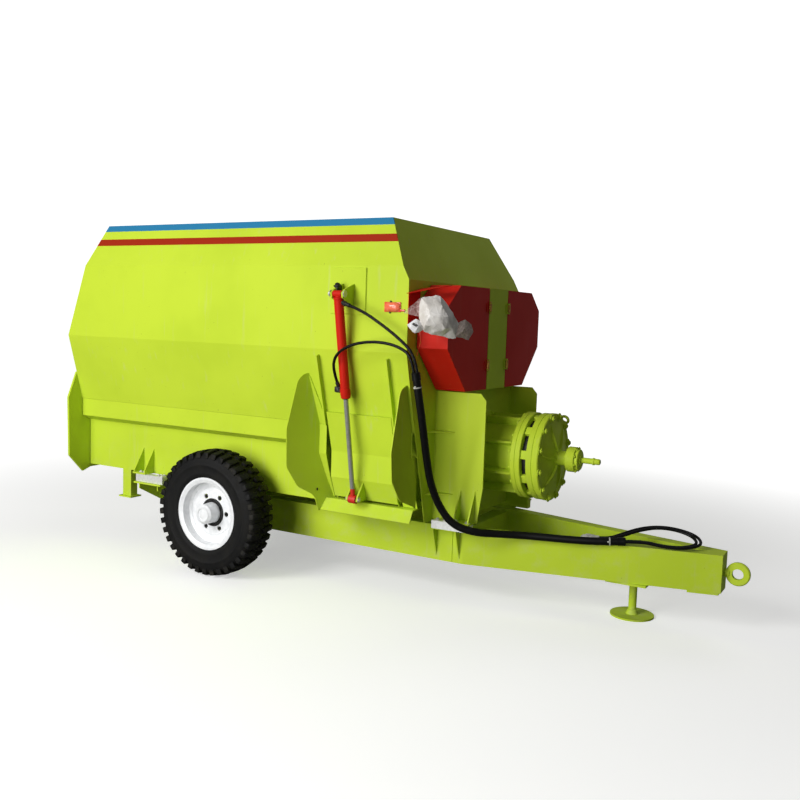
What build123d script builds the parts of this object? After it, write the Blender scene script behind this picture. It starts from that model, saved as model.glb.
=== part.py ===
from math import acos, atan2, cos, hypot, pi, radians, sin, tan
import os

from build123d import *

# Towed feed mixer wagon with one main auger and two upper augers.
# Millimetres, +X towards the drawbar, +Z up, ground at z = 0, origin at the middle of the length.

# Driving dimensions
axle_x = -850
axle_z = 402.5
sheet = 5
plate = 8
seam_gap = 1

# Tub
rim_z, fold_z, waist_z, lip_z = 2246, 1965, 1479, 1022
rim_y, wall_y, lip_y = 655, 775, 650
lean = atan2(wall_y - lip_y, waist_z - lip_z)
front_x, knee_z, front_top_x = axle_x + 1362, 1890, axle_x + 1176
rear_x, rear_top_x = axle_x - 1403, axle_x - 1128
front_foot_z = 470
skirt_y, skirt_top_z, skirt_z, lip_base_z = 580, 865, 535, 900
skirt_front_x = axle_x + 740
rear_end_x = axle_x - 1420

# Augers and trough
shaft_z = 872
trough_r, auger_r, auger_tube_r, auger_pitch = 335, 318, 84, 420
upper_y, upper_z, upper_r, upper_tube_r, upper_pitch = 430, 1630, 275, 57, 360
journal_r = 30
knife_outline = ((270, -46), (325, -40), (302, 0), (325, 40), (270, 46))
sections_per_turn = 12

# Chassis
rail_y, rail_width, rail_low_z, rail_z = 390, 80, 234, 446
rail_rear_x, rail_front_x = axle_x - 780, axle_x + 1570
cross_height, cross_wall = 120, 6
nose_x, nose_y, nose_length = axle_x + 2982, 67, 72
axle_size, axle_half, stub_length = 80, 650, 225
rigger_x, rigger_length, rigger_y = axle_x - 712, 250, 690
cell_length, cell_width = 250, 48
cell_z, bracket_rear_x, bracket_front_x, bracket_low_z, reach = 443, axle_x + 1390, axle_x + 1549, 262, 60

# Wheels
tyre_r, wheel_y = 402.5, 790
rim_r, rim_half = 230.75, 90
lugs_per_shoulder, lug_depth, lug_width, lug_length = 38, 18, 36, 80
hub_end_y = 905
stub_r, running_gap = 25, 0.05
vent_circle_r, vent_r = 112, 16

# Discharge door and its cylinder
door_rear_x, door_front_x = axle_x + 765, axle_x + 1235
door_top_z, door_fold_z, door_tuck_z, door_low_z = 1100, 860, 700, 575
door_top_y, door_low_y, door_t = 692, 575, 8
guide_length, guide_depth, guide_t = 440, 30, 10
ram_x = axle_x + 968
ram_top_y, ram_top_z, ram_eye_y, ram_eye_z = 885, 1800, 668, 590
barrel_r, rod_r, ram_pin_r, eye_boss_r, rod_eye_r, eye_clearance = 27.5, 14, 10, 19, 25, 6
barrel_end, rod_hidden = 600, 110

# Drive
case_y, case_low_z, case_top_z = 395.5, 480, 1254
case_plate_x, case_front_x = axle_x + 1500, axle_x + 1685
gearbox_rear_x, gearbox_ring_x, gearbox_face_x = axle_x + 1500, axle_x + 1789, axle_x + 1963
drive_bore_r, housing_r, housing_foot_r, ring_r = 60, 200, 250, 275
cage_r, gear_cover_r, gear_cover_t = 235, 264, 32
cage_front_x = gearbox_face_x - gear_cover_t
neck_x, boss_r, neck_r, collar_r, collar_length = axle_x + 2138, 90, 49, 75, 90
shaft_end_x, shaft_r, shaft_tip = axle_x + 2253, 17.5, 30
cover_front_x, cover_hinge_y, knuckle_r = axle_x + 1562.5, 141, 8
cover_low_z, cover_top_z = 1262, 1870
hinge_zs, knuckle_half, hinge_pin_r = (1756, 1409), 24, 4
post_z, post_height = 1566, 610

# Chute
cheek_x, cheek_y, cheek_front_x, cheek_t, cheek_round = axle_x + 700, 650, axle_x + 1340, 6, 70
splay, floor_z = radians(22), 560

# Drawbar
jack_x, jack_r, jack_sleeve_r, jack_foot_r, jack_top_z = axle_x + 2488, 23, 34, 125, 330
eye_x, eye_z, eye_hole_r, eye_r, eye_t = axle_x + 3055, 341, 30, 65, 28
eye_shank_r, eye_socket = 21.95, 64

# Hoses: their routes as distance ahead of the axle, distance to the left, height
hose_r, sleeve_r, port_r = 8.5, 22, 11
hose_upper_route = (
    (1013, -879, 1745), (1130, -893, 1712), (1262, -896, 1640), (1385, -898, 1563),
    (1483.87, -898.98, 1479.57), (1494.43, -885.17, 1386.17),
)
hose_lower_route = (
    (925, -787, 1262), (914, -836, 1358), (957, -890, 1448), (1045, -898, 1508), (1160, -899, 1537),
    (1280, -899, 1540), (1385, -899, 1519), (1463.56, -897.91, 1472.35), (1473.56, -884.83, 1383.87),
)
sleeve_route = (
    (1484, -885, 1385), (1497, -868, 1270), (1500, -820, 1120), (1490, -745, 930), (1482, -665, 750),
    (1505, -590, 605), (1575, -548, 500), (1690, -500, 464), (1800, -412, 455), (1925, -338, 452),
    (2070, -303, 453), (2225, -268, 455), (2360, -234, 462), (2480, -189, 471),
)
loop_inner_route = (
    (2476.33, -179.16, 471), (2565.06, -145.89, 477.66), (2670, -121, 461), (2765, -96, 461),
    (2840, -28, 476), (2797, 48, 501), (2700, 48, 525), (2600, 12, 531), (2512, -48, 512), (2436, -122, 482),
    (2364, -181, 463), (2290, -198, 463),
)
loop_outer_route = (
    (2483.71, -198.82, 471), (2577.11, -163.8, 478.01), (2680, -141, 461), (2785, -113, 462),
    (2866, -32, 478), (2815, 68, 504), (2702, 68, 528), (2594, 31, 534), (2500, -26, 517), (2424, -98, 486),
    (2364, -148, 463), (2290, -165, 463),
)
hose_upper_route, hose_lower_route, sleeve_route, loop_inner_route, loop_outer_route = (
    [(axle_x + ahead, left, height) for ahead, left, height in route]
    for route in (hose_upper_route, hose_lower_route, sleeve_route, loop_inner_route, loop_outer_route)
)

os.makedirs("parts", exist_ok=True)


def lean_y(z):
    return wall_y - (waist_z - z) * tan(lean)


def along_lean(y, z, distance):
    return y + distance * sin(lean), z + distance * cos(lean)


def flight(radius, tube_r, start_x, end_x, pitch, hand):
    """One auger flight about the X axis, ruled between radial sections."""
    steps = round((end_x - start_x) / pitch * sections_per_turn)
    with BuildPart() as made:
        for step in range(steps + 1):
            angle = hand * radians(360 / sections_per_turn) * step
            section = Plane(
                origin=(start_x + (end_x - start_x) * step / steps, 0, 0),
                x_dir=(0, cos(angle), sin(angle)),
                z_dir=(0, -sin(angle), cos(angle)),
            )
            with BuildSketch(section):
                with Locations(((radius + tube_r) / 2 - 3, 0)):
                    Rectangle(radius - tube_r + 6, plate)
        loft(ruled=True)
    return made.part


def ahead_of_cheek(shift):
    """Plan outline of the space ahead of the rear cheek's plane, moved forward by shift."""
    outer_x, inner_x = cheek_x - 300 * tan(splay) + shift, cheek_x + 500 * tan(splay) + shift
    return [
        (outer_x, -cheek_y - 300), (outer_x + 2000, -cheek_y - 300),
        (outer_x + 2000, -cheek_y + 500), (inner_x, -cheek_y + 500),
    ]


def hose(route, radius):
    """A hose of straight runs joined by tangent arcs."""
    corners = []
    for before, at, after in zip(route, route[1:], route[2:]):
        arriving, leaving = Vector(*at) - Vector(*before), Vector(*after) - Vector(*at)
        half_turn = radians(arriving.get_angle(leaving)) / 2
        corners.append(0.45 * min(arriving.length, leaving.length) / tan(half_turn))
    with BuildPart() as made:
        with BuildLine() as path:
            FilletPolyline(*route, radius=corners)
        with BuildSketch(Plane(origin=path.line @ 0, z_dir=path.line % 0)):
            Circle(radius)
        sweep()
    area = pi * radius ** 2
    length = path.wire().length
    print("smallest bend", round(min(corners)), "length", round(length), "of section", radius,
          "volume share", round(made.part.volume / (area * length), 4))
    return made.part


def knives(start_x, end_x, pitch, hand):
    """Two pointed knives bolted over the rim of the main auger's flight, three to a turn."""
    steps = round((end_x - start_x) / pitch * sections_per_turn)
    rise = pitch / (2 * pi)
    with BuildPart() as made:
        for step in range(2, steps, 4):
            angle = hand * radians(360 / sections_per_turn) * step
            across = Vector(auger_r, hand * rise * sin(angle), -hand * rise * cos(angle))
            blade = Plane(
                origin=(start_x + (end_x - start_x) * step / steps, 0, 0),
                x_dir=(0, cos(angle), sin(angle)),
                z_dir=across,
            )
            with BuildSketch(blade):
                Polygon(*knife_outline, align=None)
            extrude(amount=7, both=True)
    return made.part


# Chassis beams with their welded load cell brackets
bend = atan2(rail_y - nose_y, nose_x - rail_front_x)
for name, side in (("right", -1), ("left", 1)):
    end_x, end_y = nose_x - nose_length, nose_y + nose_length * tan(bend)
    outer = [(rail_rear_x, rail_y), (rail_front_x, rail_y), (end_x, end_y)]
    inset = rail_width * tan(bend / 2)
    inner = [
        (end_x, end_y - rail_width / cos(bend)),
        (rail_front_x - inset, rail_y - rail_width),
        (rail_rear_x, rail_y - rail_width),
    ]
    with BuildPart() as beam:
        with BuildSketch(Plane.XY.offset(rail_low_z)):
            Polygon(*[(x, side * y) for x, y in outer + inner], align=None)
        extrude(amount=rail_z - rail_low_z)
        # Square passage for the axle
        with Locations((axle_x, side * (rail_y - rail_width / 2), axle_z)):
            Box(axle_size, rail_width + 40, axle_size, mode=Mode.SUBTRACT)
        # Front bracket
        with Locations(((bracket_rear_x + bracket_front_x) / 2, side * (rail_y + reach / 2), cell_z - 5)):
            Box(bracket_front_x - bracket_rear_x, reach, 10)
        for x in (bracket_rear_x, bracket_front_x - plate):
            with BuildSketch(Plane.YZ.offset(x)):
                Polygon(
                    (side * rail_y, cell_z - 10),
                    (side * (rail_y + reach), cell_z - 10),
                    (side * rail_y, bracket_low_z),
                    align=None,
                )
            extrude(amount=plate)
        # Rear outrigger
        with Locations((rigger_x, side * (rail_y + rigger_y) / 2, 480)):
            Box(rigger_length, rigger_y - rail_y, 10)
        with Locations((rigger_x, side * (rail_y - rail_width / 2), 465.5)):
            Box(rigger_length, rail_width, 39)
        for x in (rigger_x - 90, rigger_x + 90 - plate):
            with BuildSketch(Plane.YZ.offset(x)):
                Polygon(
                    (side * rail_y, 475),
                    (side * (rigger_y - 15), 475),
                    (side * (rigger_y - 15), 440),
                    (side * rail_y, 290),
                    align=None,
                )
            extrude(amount=plate)
    beam.part.label = f"chassis_beam_{name}"
    export_step(beam.part, f"parts/chassis_beam_{name}.step")

# Hollow crossmembers: middle, width
for name, x, width in (
    ("rear_crossmember", axle_x - 700, 120),
    ("front_crossmember", axle_x + 1500, 100),
):
    with BuildPart() as crossmember:
        with Locations((x, 0, 370)):
            Box(width, 2 * (rail_y - rail_width), cross_height)
            Box(
                width - 2 * cross_wall, 2 * (rail_y - rail_width), cross_height - 2 * cross_wall,
                mode=Mode.SUBTRACT,
            )
    crossmember.part.label = name
    export_step(crossmember.part, f"parts/{name}.step")

with BuildPart() as axle_beam:
    with Locations((axle_x, 0, axle_z)):
        Box(axle_size, 2 * axle_half, axle_size)
    for side in (-1, 1):
        with BuildSketch(Plane((axle_x, side * axle_half, axle_z), x_dir=(1, 0, 0), z_dir=(0, side, 0))):
            Circle(stub_r)
        extrude(amount=stub_length)
axle_beam.part.label = "axle_beam"
export_step(axle_beam.part, "parts/axle_beam.step")

with BuildPart() as drawbar_nose:
    with BuildSketch(Plane.XY.offset(rail_low_z)):
        tail_y = nose_y + nose_length * tan(bend)
        Polygon(
            (nose_x - nose_length, -tail_y), (nose_x, -nose_y),
            (nose_x, nose_y), (nose_x - nose_length, tail_y),
            align=None,
        )
    extrude(amount=rail_z - rail_low_z)
    with BuildSketch(Plane.XY.offset(rail_low_z - 12)):
        Polygon(
            (axle_x + 2810, -106), (nose_x - 12, -nose_y), (nose_x - 12, nose_y), (axle_x + 2810, 106),
            align=None,
        )
    extrude(amount=12)
    with BuildSketch(Plane.YZ.offset(nose_x - eye_socket)):
        with Locations((0, eye_z)):
            Circle(eye_shank_r + running_gap)
    extrude(amount=eye_socket, mode=Mode.SUBTRACT)
drawbar_nose.part.label = "drawbar_nose"
export_step(drawbar_nose.part, "parts/drawbar_nose.step")

with BuildPart() as tow_eye:
    with BuildSketch(Plane.XZ.offset(-eye_t / 2)):
        with Locations((eye_x, eye_z)):
            Circle(eye_r)
            Circle(eye_hole_r, mode=Mode.SUBTRACT)
    extrude(amount=eye_t)
    circles = tow_eye.edges().filter_by(GeomType.CIRCLE)
    chamfer(circles.filter_by(lambda edge: edge.radius == eye_r), 6)
    with BuildSketch(Plane.YZ.offset(nose_x - eye_socket + 4)):
        with Locations((0, eye_z)):
            Circle(eye_shank_r)
    extrude(amount=eye_x - eye_r + 20 - nose_x + eye_socket - 4)
tow_eye.part.label = "tow_eye"
export_step(tow_eye.part, "parts/tow_eye.step")

bracket_beam_y = nose_y + (nose_x - jack_x) * tan(bend)
with BuildPart() as jack_bracket:
    with BuildSketch(Plane.XY.offset(rail_low_z - 12)):
        with Locations((jack_x, 0)):
            Rectangle(230, 2 * bracket_beam_y)
            Circle(jack_r + 1, mode=Mode.SUBTRACT)
    extrude(amount=12)
    with BuildSketch(Plane.XY.offset(rail_low_z)):
        with Locations((jack_x, 0)):
            Circle(jack_sleeve_r)
            Circle(jack_r + 1, mode=Mode.SUBTRACT)
    extrude(amount=120)
jack_bracket.part.label = "jack_bracket"
export_step(jack_bracket.part, "parts/jack_bracket.step")

with BuildPart() as jack_leg:
    with BuildSketch(Plane.XY):
        with Locations((jack_x, 0)):
            Circle(jack_foot_r)
    extrude(amount=10)
    with BuildSketch(Plane.XY.offset(10)):
        with Locations((jack_x, 0)):
            Circle(36)
    extrude(amount=26, taper=20)
    with BuildSketch(Plane.XY.offset(20)):
        with Locations((jack_x, 0)):
            Circle(jack_r)
    extrude(amount=jack_top_z - 20)
jack_leg.part.label = "jack_leg"
export_step(jack_leg.part, "parts/jack_leg.step")

# Load cells between the chassis and the tub
cell_sites = (
    ("front_right", axle_x + 1520, -445, cell_z, 47),
    ("front_left", axle_x + 1520, 445, cell_z, 47),
    ("rear_right", axle_x - 712, -645, 485, 53),
    ("rear_left", axle_x - 712, 645, 485, 53),
)
for name, x, y, z, height in cell_sites:
    with BuildPart() as load_cell:
        with Locations((x, y, z + height / 2)):
            Box(cell_length, cell_width, height)
    load_cell.part.label = f"load_cell_{name}"
    export_step(load_cell.part, f"parts/load_cell_{name}.step")

# Folded side walls of the tub
side_outline = (
    (rear_top_x, rim_z),
    (front_top_x, rim_z),
    (front_x, knee_z),
    (front_x, lip_base_z),
    (rear_x, lip_base_z),
    (rear_x, waist_z),
)
for name, side in (("right", -1), ("left", 1)):
    with BuildPart() as tub_side:
        with BuildSketch(Plane.YZ.offset(rear_x - 100)):
            with BuildLine():
                Polyline(
                    (side * rim_y, rim_z),
                    (side * wall_y, fold_z),
                    (side * wall_y, waist_z),
                    (side * lip_y, lip_z),
                )
                offset(amount=sheet, side=Side.LEFT if side < 0 else Side.RIGHT, kind=Kind.INTERSECTION)
            make_face()
        extrude(amount=front_x - rear_x + 200)
        with BuildSketch(Plane.XZ.offset(-1000)):
            Polygon(*side_outline, align=None)
        extrude(amount=2000, mode=Mode.INTERSECT)
        # Rolled rim
        with BuildSketch(Plane.YZ.offset(rear_top_x + 10)):
            with Locations((side * (rim_y - 12), rim_z - 8)):
                Rectangle(20, 16)
        extrude(amount=front_top_x - rear_top_x - 20)
        if side < 0:
            # Guides that hold the two edges of the sliding door
            top_y, top_z = along_lean(lip_y, lip_z, guide_length)
            out_y, out_z = guide_depth * cos(lean), -guide_depth * sin(lean)
            for x in (door_rear_x - guide_t, door_front_x):
                with BuildSketch(Plane.YZ.offset(x)):
                    Polygon(
                        (-lip_y, lip_z), (-top_y, top_z),
                        (-(top_y + out_y), top_z + out_z), (-(lip_y + out_y), lip_z + out_z),
                        align=None,
                    )
                extrude(amount=guide_t)
    tub_side.part.label = f"tub_side_{name}"
    export_step(tub_side.part, f"parts/tub_side_{name}.step")

# Trough wrapped round the main auger, its straight flanks rising to the lip fold
flank_y, flank_z = lip_y - 8, lip_z - 4 - shaft_z
touch = atan2(flank_z, flank_y) - acos((trough_r + plate) / hypot(flank_y, flank_z))
edge_y, edge_z = flank_y - plate * cos(touch), flank_z - plate * sin(touch)
with BuildPart() as tub_trough:
    with BuildSketch(Plane(origin=(rear_x + 7, 0, shaft_z), x_dir=(0, 1, 0), z_dir=(1, 0, 0))):
        with BuildLine():
            for radius, y, z in ((trough_r + plate, flank_y, flank_z), (trough_r, edge_y, edge_z)):
                foot = (radius * cos(touch), radius * sin(touch))
                Line((-y, z), (-foot[0], foot[1]))
                ThreePointArc((-foot[0], foot[1]), (0, -radius), foot)
                Line(foot, (y, z))
            Line((flank_y, flank_z), (edge_y, edge_z))
            Line((-flank_y, flank_z), (-edge_y, edge_z))
        make_face()
    extrude(amount=front_x - rear_x - 12 - 7)
    with Locations(((door_rear_x + door_front_x) / 2, -450, 800)):
        Box(door_front_x - door_rear_x - 40, 600, 400, mode=Mode.SUBTRACT)
tub_trough.part.label = "tub_trough"
export_step(tub_trough.part, "parts/tub_trough.step")

end_outline = (
    (rim_y - sheet - 1, rim_z),
    (wall_y - sheet - 1, fold_z),
    (wall_y - sheet - 1, waist_z),
)
lower_front = ((lean_y(lip_z) - sheet - 1, lip_z), (lip_y - sheet - 3, lip_base_z))
with BuildPart() as tub_front_wall:
    with BuildSketch(Plane.XZ.offset(-1000)):
        with BuildLine():
            Polyline((front_top_x, rim_z), (front_x, knee_z), (front_x, front_foot_z))
            offset(amount=sheet, side=Side.RIGHT, kind=Kind.INTERSECTION)
        make_face()
    extrude(amount=2000)
    with BuildSketch(Plane.YZ.offset(front_top_x - 20)):
        half = list(end_outline) + [(lean_y(front_foot_z) - sheet - 1, front_foot_z)]
        Polygon(*half, *[(-y, z) for y, z in reversed(half)], align=None)
    extrude(amount=300, mode=Mode.INTERSECT)
    with BuildSketch(Plane.YZ.offset(front_top_x - 20)):
        with Locations((0, shaft_z), (upper_y, upper_z), (-upper_y, upper_z)):
            Circle(journal_r + 1)
    extrude(amount=300, mode=Mode.SUBTRACT)
tub_front_wall.part.label = "tub_front_wall"
export_step(tub_front_wall.part, "parts/tub_front_wall.step")

with BuildPart() as tub_rear_wall:
    with BuildSketch(Plane.XZ.offset(-1000)):
        with BuildLine():
            Polyline((rear_top_x, rim_z), (rear_x, waist_z), (rear_x, lip_base_z))
            offset(amount=sheet, side=Side.LEFT, kind=Kind.INTERSECTION)
        make_face()
    extrude(amount=2000)
    with BuildSketch(Plane.YZ.offset(rear_x - 20)):
        half = list(end_outline) + list(lower_front)
        Polygon(*half, *[(-y, z) for y, z in reversed(half)], align=None)
    extrude(amount=400, mode=Mode.INTERSECT)
    # Flared end plate round the lower body
    with BuildSketch(Plane.YZ.offset(rear_end_x)):
        half = [(700, 1215), (772, 1035), (764, 615), (644, 487), (576, 512), (300, 512)]
        Polygon(*half, *[(-y, z) for y, z in reversed(half)], align=None)
    extrude(amount=rear_x - rear_end_x)
    with BuildSketch(Plane.YZ.offset(rear_end_x - 1)):
        with Locations((0, shaft_z), (upper_y, upper_z), (-upper_y, upper_z)):
            Circle(journal_r + 1)
    extrude(amount=120, mode=Mode.SUBTRACT)
tub_rear_wall.part.label = "tub_rear_wall"
export_step(tub_rear_wall.part, "parts/tub_rear_wall.step")

# Fairings under the lip, with the rear feet and the hanging posts
for name, side, end_x in (("right", -1, skirt_front_x), ("left", 1, front_x - sheet)):
    with BuildPart() as side_skirt:
        with BuildSketch(Plane.YZ.offset(rear_x + sheet)):
            with BuildLine():
                Polyline(
                    (side * lip_y, lip_z - 1),
                    (side * lip_y, lip_base_z),
                    (side * skirt_y, skirt_top_z),
                    (side * skirt_y, skirt_z),
                    (side * (skirt_y - 60), skirt_z),
                )
                offset(amount=sheet, side=Side.LEFT if side < 0 else Side.RIGHT, kind=Kind.INTERSECTION)
            make_face()
        extrude(amount=end_x - rear_x - sheet)
        # Foot on the rear load cell
        with Locations((axle_x - 805, side * 625, 543)):
            Box(120, 100, 10)
        for x in (axle_x - 858, axle_x - 761):
            with BuildSketch(Plane.YZ.offset(x)):
                Polygon(
                    (side * skirt_y, 710), (side * (skirt_y + 90), 560),
                    (side * (skirt_y + 90), 548), (side * skirt_y, 548),
                    align=None,
                )
            extrude(amount=plate)
        # Hanging post with its base plate
        with Locations((axle_x - 1020, side * 550, 440)):
            Box(80, 60, 190)
        with Locations((axle_x - 1020, side * 550, 340)):
            Box(120, 100, 10)
        if side < 0:
            # The near fairing ends against the splayed cheek
            with BuildSketch(Plane.XY.offset(skirt_z - 100)):
                Polygon(*ahead_of_cheek(-seam_gap), align=None)
            extrude(amount=lip_z - skirt_z + 200, mode=Mode.SUBTRACT)
    side_skirt.part.label = f"side_skirt_{name}"
    export_step(side_skirt.part, f"parts/side_skirt_{name}.step")

# Chute cheeks, with the panels between them and the door, and the floor
def wall_edge(top_z):
    """Outline of the tub side that a cheek is welded to, from the top down."""
    return [
        (-(lean_y(top_z) + seam_gap), top_z),
        (-(lip_y + seam_gap), lip_z),
        (-(lip_y + seam_gap), lip_base_z),
        (-(skirt_y + seam_gap), skirt_top_z),
    ]


def door_panel(start_x, end_x):
    """Folded panel that closes the side beside the door, from the lip down to the floor."""
    with BuildPart() as made:
        with BuildSketch(Plane.YZ.offset(start_x)):
            with BuildLine():
                Polyline(
                    (-(lip_y + 6), lip_z - 3),
                    (-(lip_y + 6), door_fold_z - 20),
                    (-(skirt_y + 26), door_tuck_z),
                    (-(skirt_y - 32), floor_z + 2),
                )
                offset(amount=sheet, side=Side.LEFT, kind=Kind.INTERSECTION)
            make_face()
        extrude(amount=end_x - start_x)
        # No further back than the splayed cheek
        with BuildSketch(Plane.XY.offset(400)):
            Polygon(*ahead_of_cheek(2), align=None)
        extrude(amount=lip_z, mode=Mode.INTERSECT)
    return made.part


# Outline points: distance out along the splayed plate, height
cheek_rear_outline = [(118, 1329), (165, 1290), (237, 1000), (232, 770), (150, 645), (29, 581), (0, 485)]
cheek_plane = Plane(
    origin=(cheek_x, -cheek_y, 0),
    x_dir=(-sin(splay), -cos(splay), 0),
    z_dir=(-cos(splay), sin(splay), 0),
)
with BuildPart() as chute_cheek_rear:
    with BuildSketch(cheek_plane):
        with BuildLine():
            edge = [((-y - cheek_y) / cos(splay), z) for y, z in wall_edge(cheek_rear_outline[0][1])]
            top, foot = cheek_rear_outline[0], cheek_rear_outline[-1]
            FilletPolyline(edge[0], *cheek_rear_outline, radius=cheek_round)
            Polyline(*edge, (edge[-1][0], door_tuck_z), (-122, door_tuck_z - 10), (-122, floor_z - 8),
                     (-56, floor_z - 8), (-12, 483), foot)
        make_face()
    extrude(amount=-cheek_t)
    # Flange on the leaning wall
    lean_plane = Plane((0, -(lip_y + seam_gap), lip_z), x_dir=(1, 0, 0), z_dir=(0, -cos(lean), -sin(lean)))
    with BuildSketch(lean_plane):
        Polygon(
            (cheek_x + 2, 0), (door_rear_x - guide_t, 0), (cheek_x + 24, 140), (cheek_x - 22, 300),
            (cheek_x - 30, 300),
            align=None,
        )
    extrude(amount=sheet)
    add(door_panel(cheek_x, door_rear_x - guide_t))
chute_cheek_rear.part.label = "chute_cheek_rear"
export_step(chute_cheek_rear.part, "parts/chute_cheek_rear.step")

cheek_front_outline = [(-800, 1275), (-880, 930), (-864, 768), (-770, 645), (-610, 586)]
with BuildPart() as chute_cheek_front:
    with BuildSketch(Plane.YZ.offset(cheek_front_x)):
        with BuildLine():
            edge = wall_edge(cheek_front_outline[0][1] + 25)
            FilletPolyline(edge[0], *cheek_front_outline, radius=cheek_round)
            Polyline(*edge, (edge[-1][0], floor_z + 2), cheek_front_outline[-1])
        make_face()
    extrude(amount=cheek_t)
    add(door_panel(door_front_x + guide_t, cheek_front_x + 1))
chute_cheek_front.part.label = "chute_cheek_front"
export_step(chute_cheek_front.part, "parts/chute_cheek_front.step")

with BuildPart() as chute_floor:
    with BuildSketch(Plane.YZ.offset(cheek_x)):
        with BuildLine():
            Polyline((-145, floor_z), (-600, floor_z), (-640, 489))
            offset(amount=cheek_t, side=Side.LEFT, kind=Kind.INTERSECTION)
        make_face()
    extrude(amount=cheek_front_x - cheek_x)
    # The rear edge follows the splayed cheek, then runs straight under the outlet
    with BuildSketch(Plane.XY.offset(floor_z - 100)):
        Polygon(*ahead_of_cheek(cheek_t / cos(splay) + 0.5), align=None)
        Polygon(
            (cheek_x + 46, -535), (cheek_front_x, -535), (cheek_front_x, 0), (cheek_x + 46, 0),
            align=None,
        )
    extrude(amount=200, mode=Mode.INTERSECT)
    # Side plates of the outlet between the trough and the door
    for x in (door_rear_x + 14, door_front_x - 20):
        with BuildSketch(Plane.YZ.offset(x)):
            Polygon(
                (-255, floor_z), (-552, floor_z), (-600, door_tuck_z), (-605, skirt_top_z),
                (-636, 992), (-270, 650),
                align=None,
            )
        extrude(amount=6)
chute_floor.part.label = "chute_floor"
export_step(chute_floor.part, "parts/chute_floor.step")

# Sliding discharge door
top_y, fold_y = door_top_y, door_top_y - (door_top_z - door_fold_z) * tan(lean)
with BuildPart() as discharge_door:
    with BuildSketch(Plane.YZ.offset(door_rear_x + 10)):
        with BuildLine():
            Polyline(
                (-top_y, door_top_z), (-fold_y, door_fold_z),
                (-fold_y, door_tuck_z), (-door_low_y, door_low_z),
            )
            offset(amount=door_t, side=Side.LEFT, kind=Kind.INTERSECTION)
        make_face()
    extrude(amount=door_front_x - door_rear_x - 20)
    # Lugs and pin for the rod eye
    for x in (ram_x - 40, ram_x + 30):
        with BuildSketch(Plane.YZ.offset(x)):
            Polygon(
                (-(door_low_y + 1), door_low_z + 4), (-(fold_y - 8), door_tuck_z - 10),
                (-(ram_eye_y + 10), ram_eye_z + 22), (-(ram_eye_y + 20), ram_eye_z - 8),
                (-(ram_eye_y + 5), ram_eye_z - 18),
                align=None,
            )
        extrude(amount=10)
    with BuildSketch(Plane.YZ.offset(ram_x - 40)):
        with Locations((-ram_eye_y, ram_eye_z)):
            Circle(ram_pin_r)
    extrude(amount=80)
discharge_door.part.label = "discharge_door"
export_step(discharge_door.part, "parts/discharge_door.step")

ram_angle = atan2(ram_top_y - ram_eye_y, ram_top_z - ram_eye_z)
ram_axis = (0, sin(ram_angle), -cos(ram_angle))
ram_plane = Plane((ram_x, -ram_top_y, ram_top_z), x_dir=(1, 0, 0), z_dir=ram_axis)
ram_length = (ram_top_z - ram_eye_z) / cos(ram_angle)

with BuildPart() as cylinder_bracket:
    with Locations((axle_x + 965, -(wall_y + 4), 1820)):
        Box(240, 8, 260)
    for x in (ram_x - 42, ram_x + 32):
        with BuildSketch(Plane.YZ.offset(x)):
            Polygon(
                (-(wall_y + 8), 1730), (-(wall_y + 8), 1860), (-(ram_top_y - 5), 1825),
                (-(ram_top_y + 20), 1805), (-(ram_top_y + 14), 1778),
                align=None,
            )
        extrude(amount=10)
    with BuildSketch(Plane.YZ.offset(ram_x - 45)):
        with Locations((-ram_top_y, ram_top_z)):
            Circle(ram_pin_r)
    extrude(amount=90)
cylinder_bracket.part.label = "cylinder_bracket"
export_step(cylinder_bracket.part, "parts/cylinder_bracket.step")

with BuildPart() as cylinder_barrel:
    with BuildSketch(ram_plane.offset(22)):
        Circle(barrel_r)
    extrude(amount=barrel_end - 22)
    with BuildSketch(ram_plane.offset(10)):
        Circle(18)
    extrude(amount=16)
    with BuildSketch(ram_plane.offset(30)):
        Circle(rod_r + running_gap)
    extrude(amount=barrel_end, mode=Mode.SUBTRACT)
    with BuildSketch(Plane.YZ.offset(ram_x - 28)):
        with Locations((-ram_top_y, ram_top_z)):
            Circle(eye_boss_r)
    extrude(amount=56)
    with BuildSketch(Plane.YZ.offset(ram_x - 28)):
        with Locations((-ram_top_y, ram_top_z)):
            Circle(ram_pin_r + running_gap)
    extrude(amount=56, mode=Mode.SUBTRACT)
    # Port fittings that the hoses are screwed to
    with BuildSketch(Plane.YZ.offset(ram_x - 52)):
        with Locations((-785.5, 1245)):
            Circle(port_r)
    extrude(amount=32)
    for start, ahead in (hose_upper_route[:2], hose_lower_route[:2]):
        with BuildSketch(Plane(origin=start, z_dir=Vector(*start) - Vector(*ahead))):
            Circle(port_r)
        extrude(amount=26)
cylinder_barrel.part.label = "cylinder_barrel"
export_step(cylinder_barrel.part, "parts/cylinder_barrel.step")

with BuildPart() as cylinder_rod:
    with BuildSketch(ram_plane.offset(barrel_end - rod_hidden)):
        Circle(rod_r)
    extrude(amount=ram_length - barrel_end + rod_hidden - 18)
    with BuildSketch(Plane.YZ.offset(ram_x - 24)):
        with Locations((-ram_eye_y, ram_eye_z)):
            Circle(rod_eye_r)
            Circle(ram_pin_r + eye_clearance, mode=Mode.SUBTRACT)
    extrude(amount=48)
cylinder_rod.part.label = "cylinder_rod"
export_step(cylinder_rod.part, "parts/cylinder_rod.step")

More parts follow.
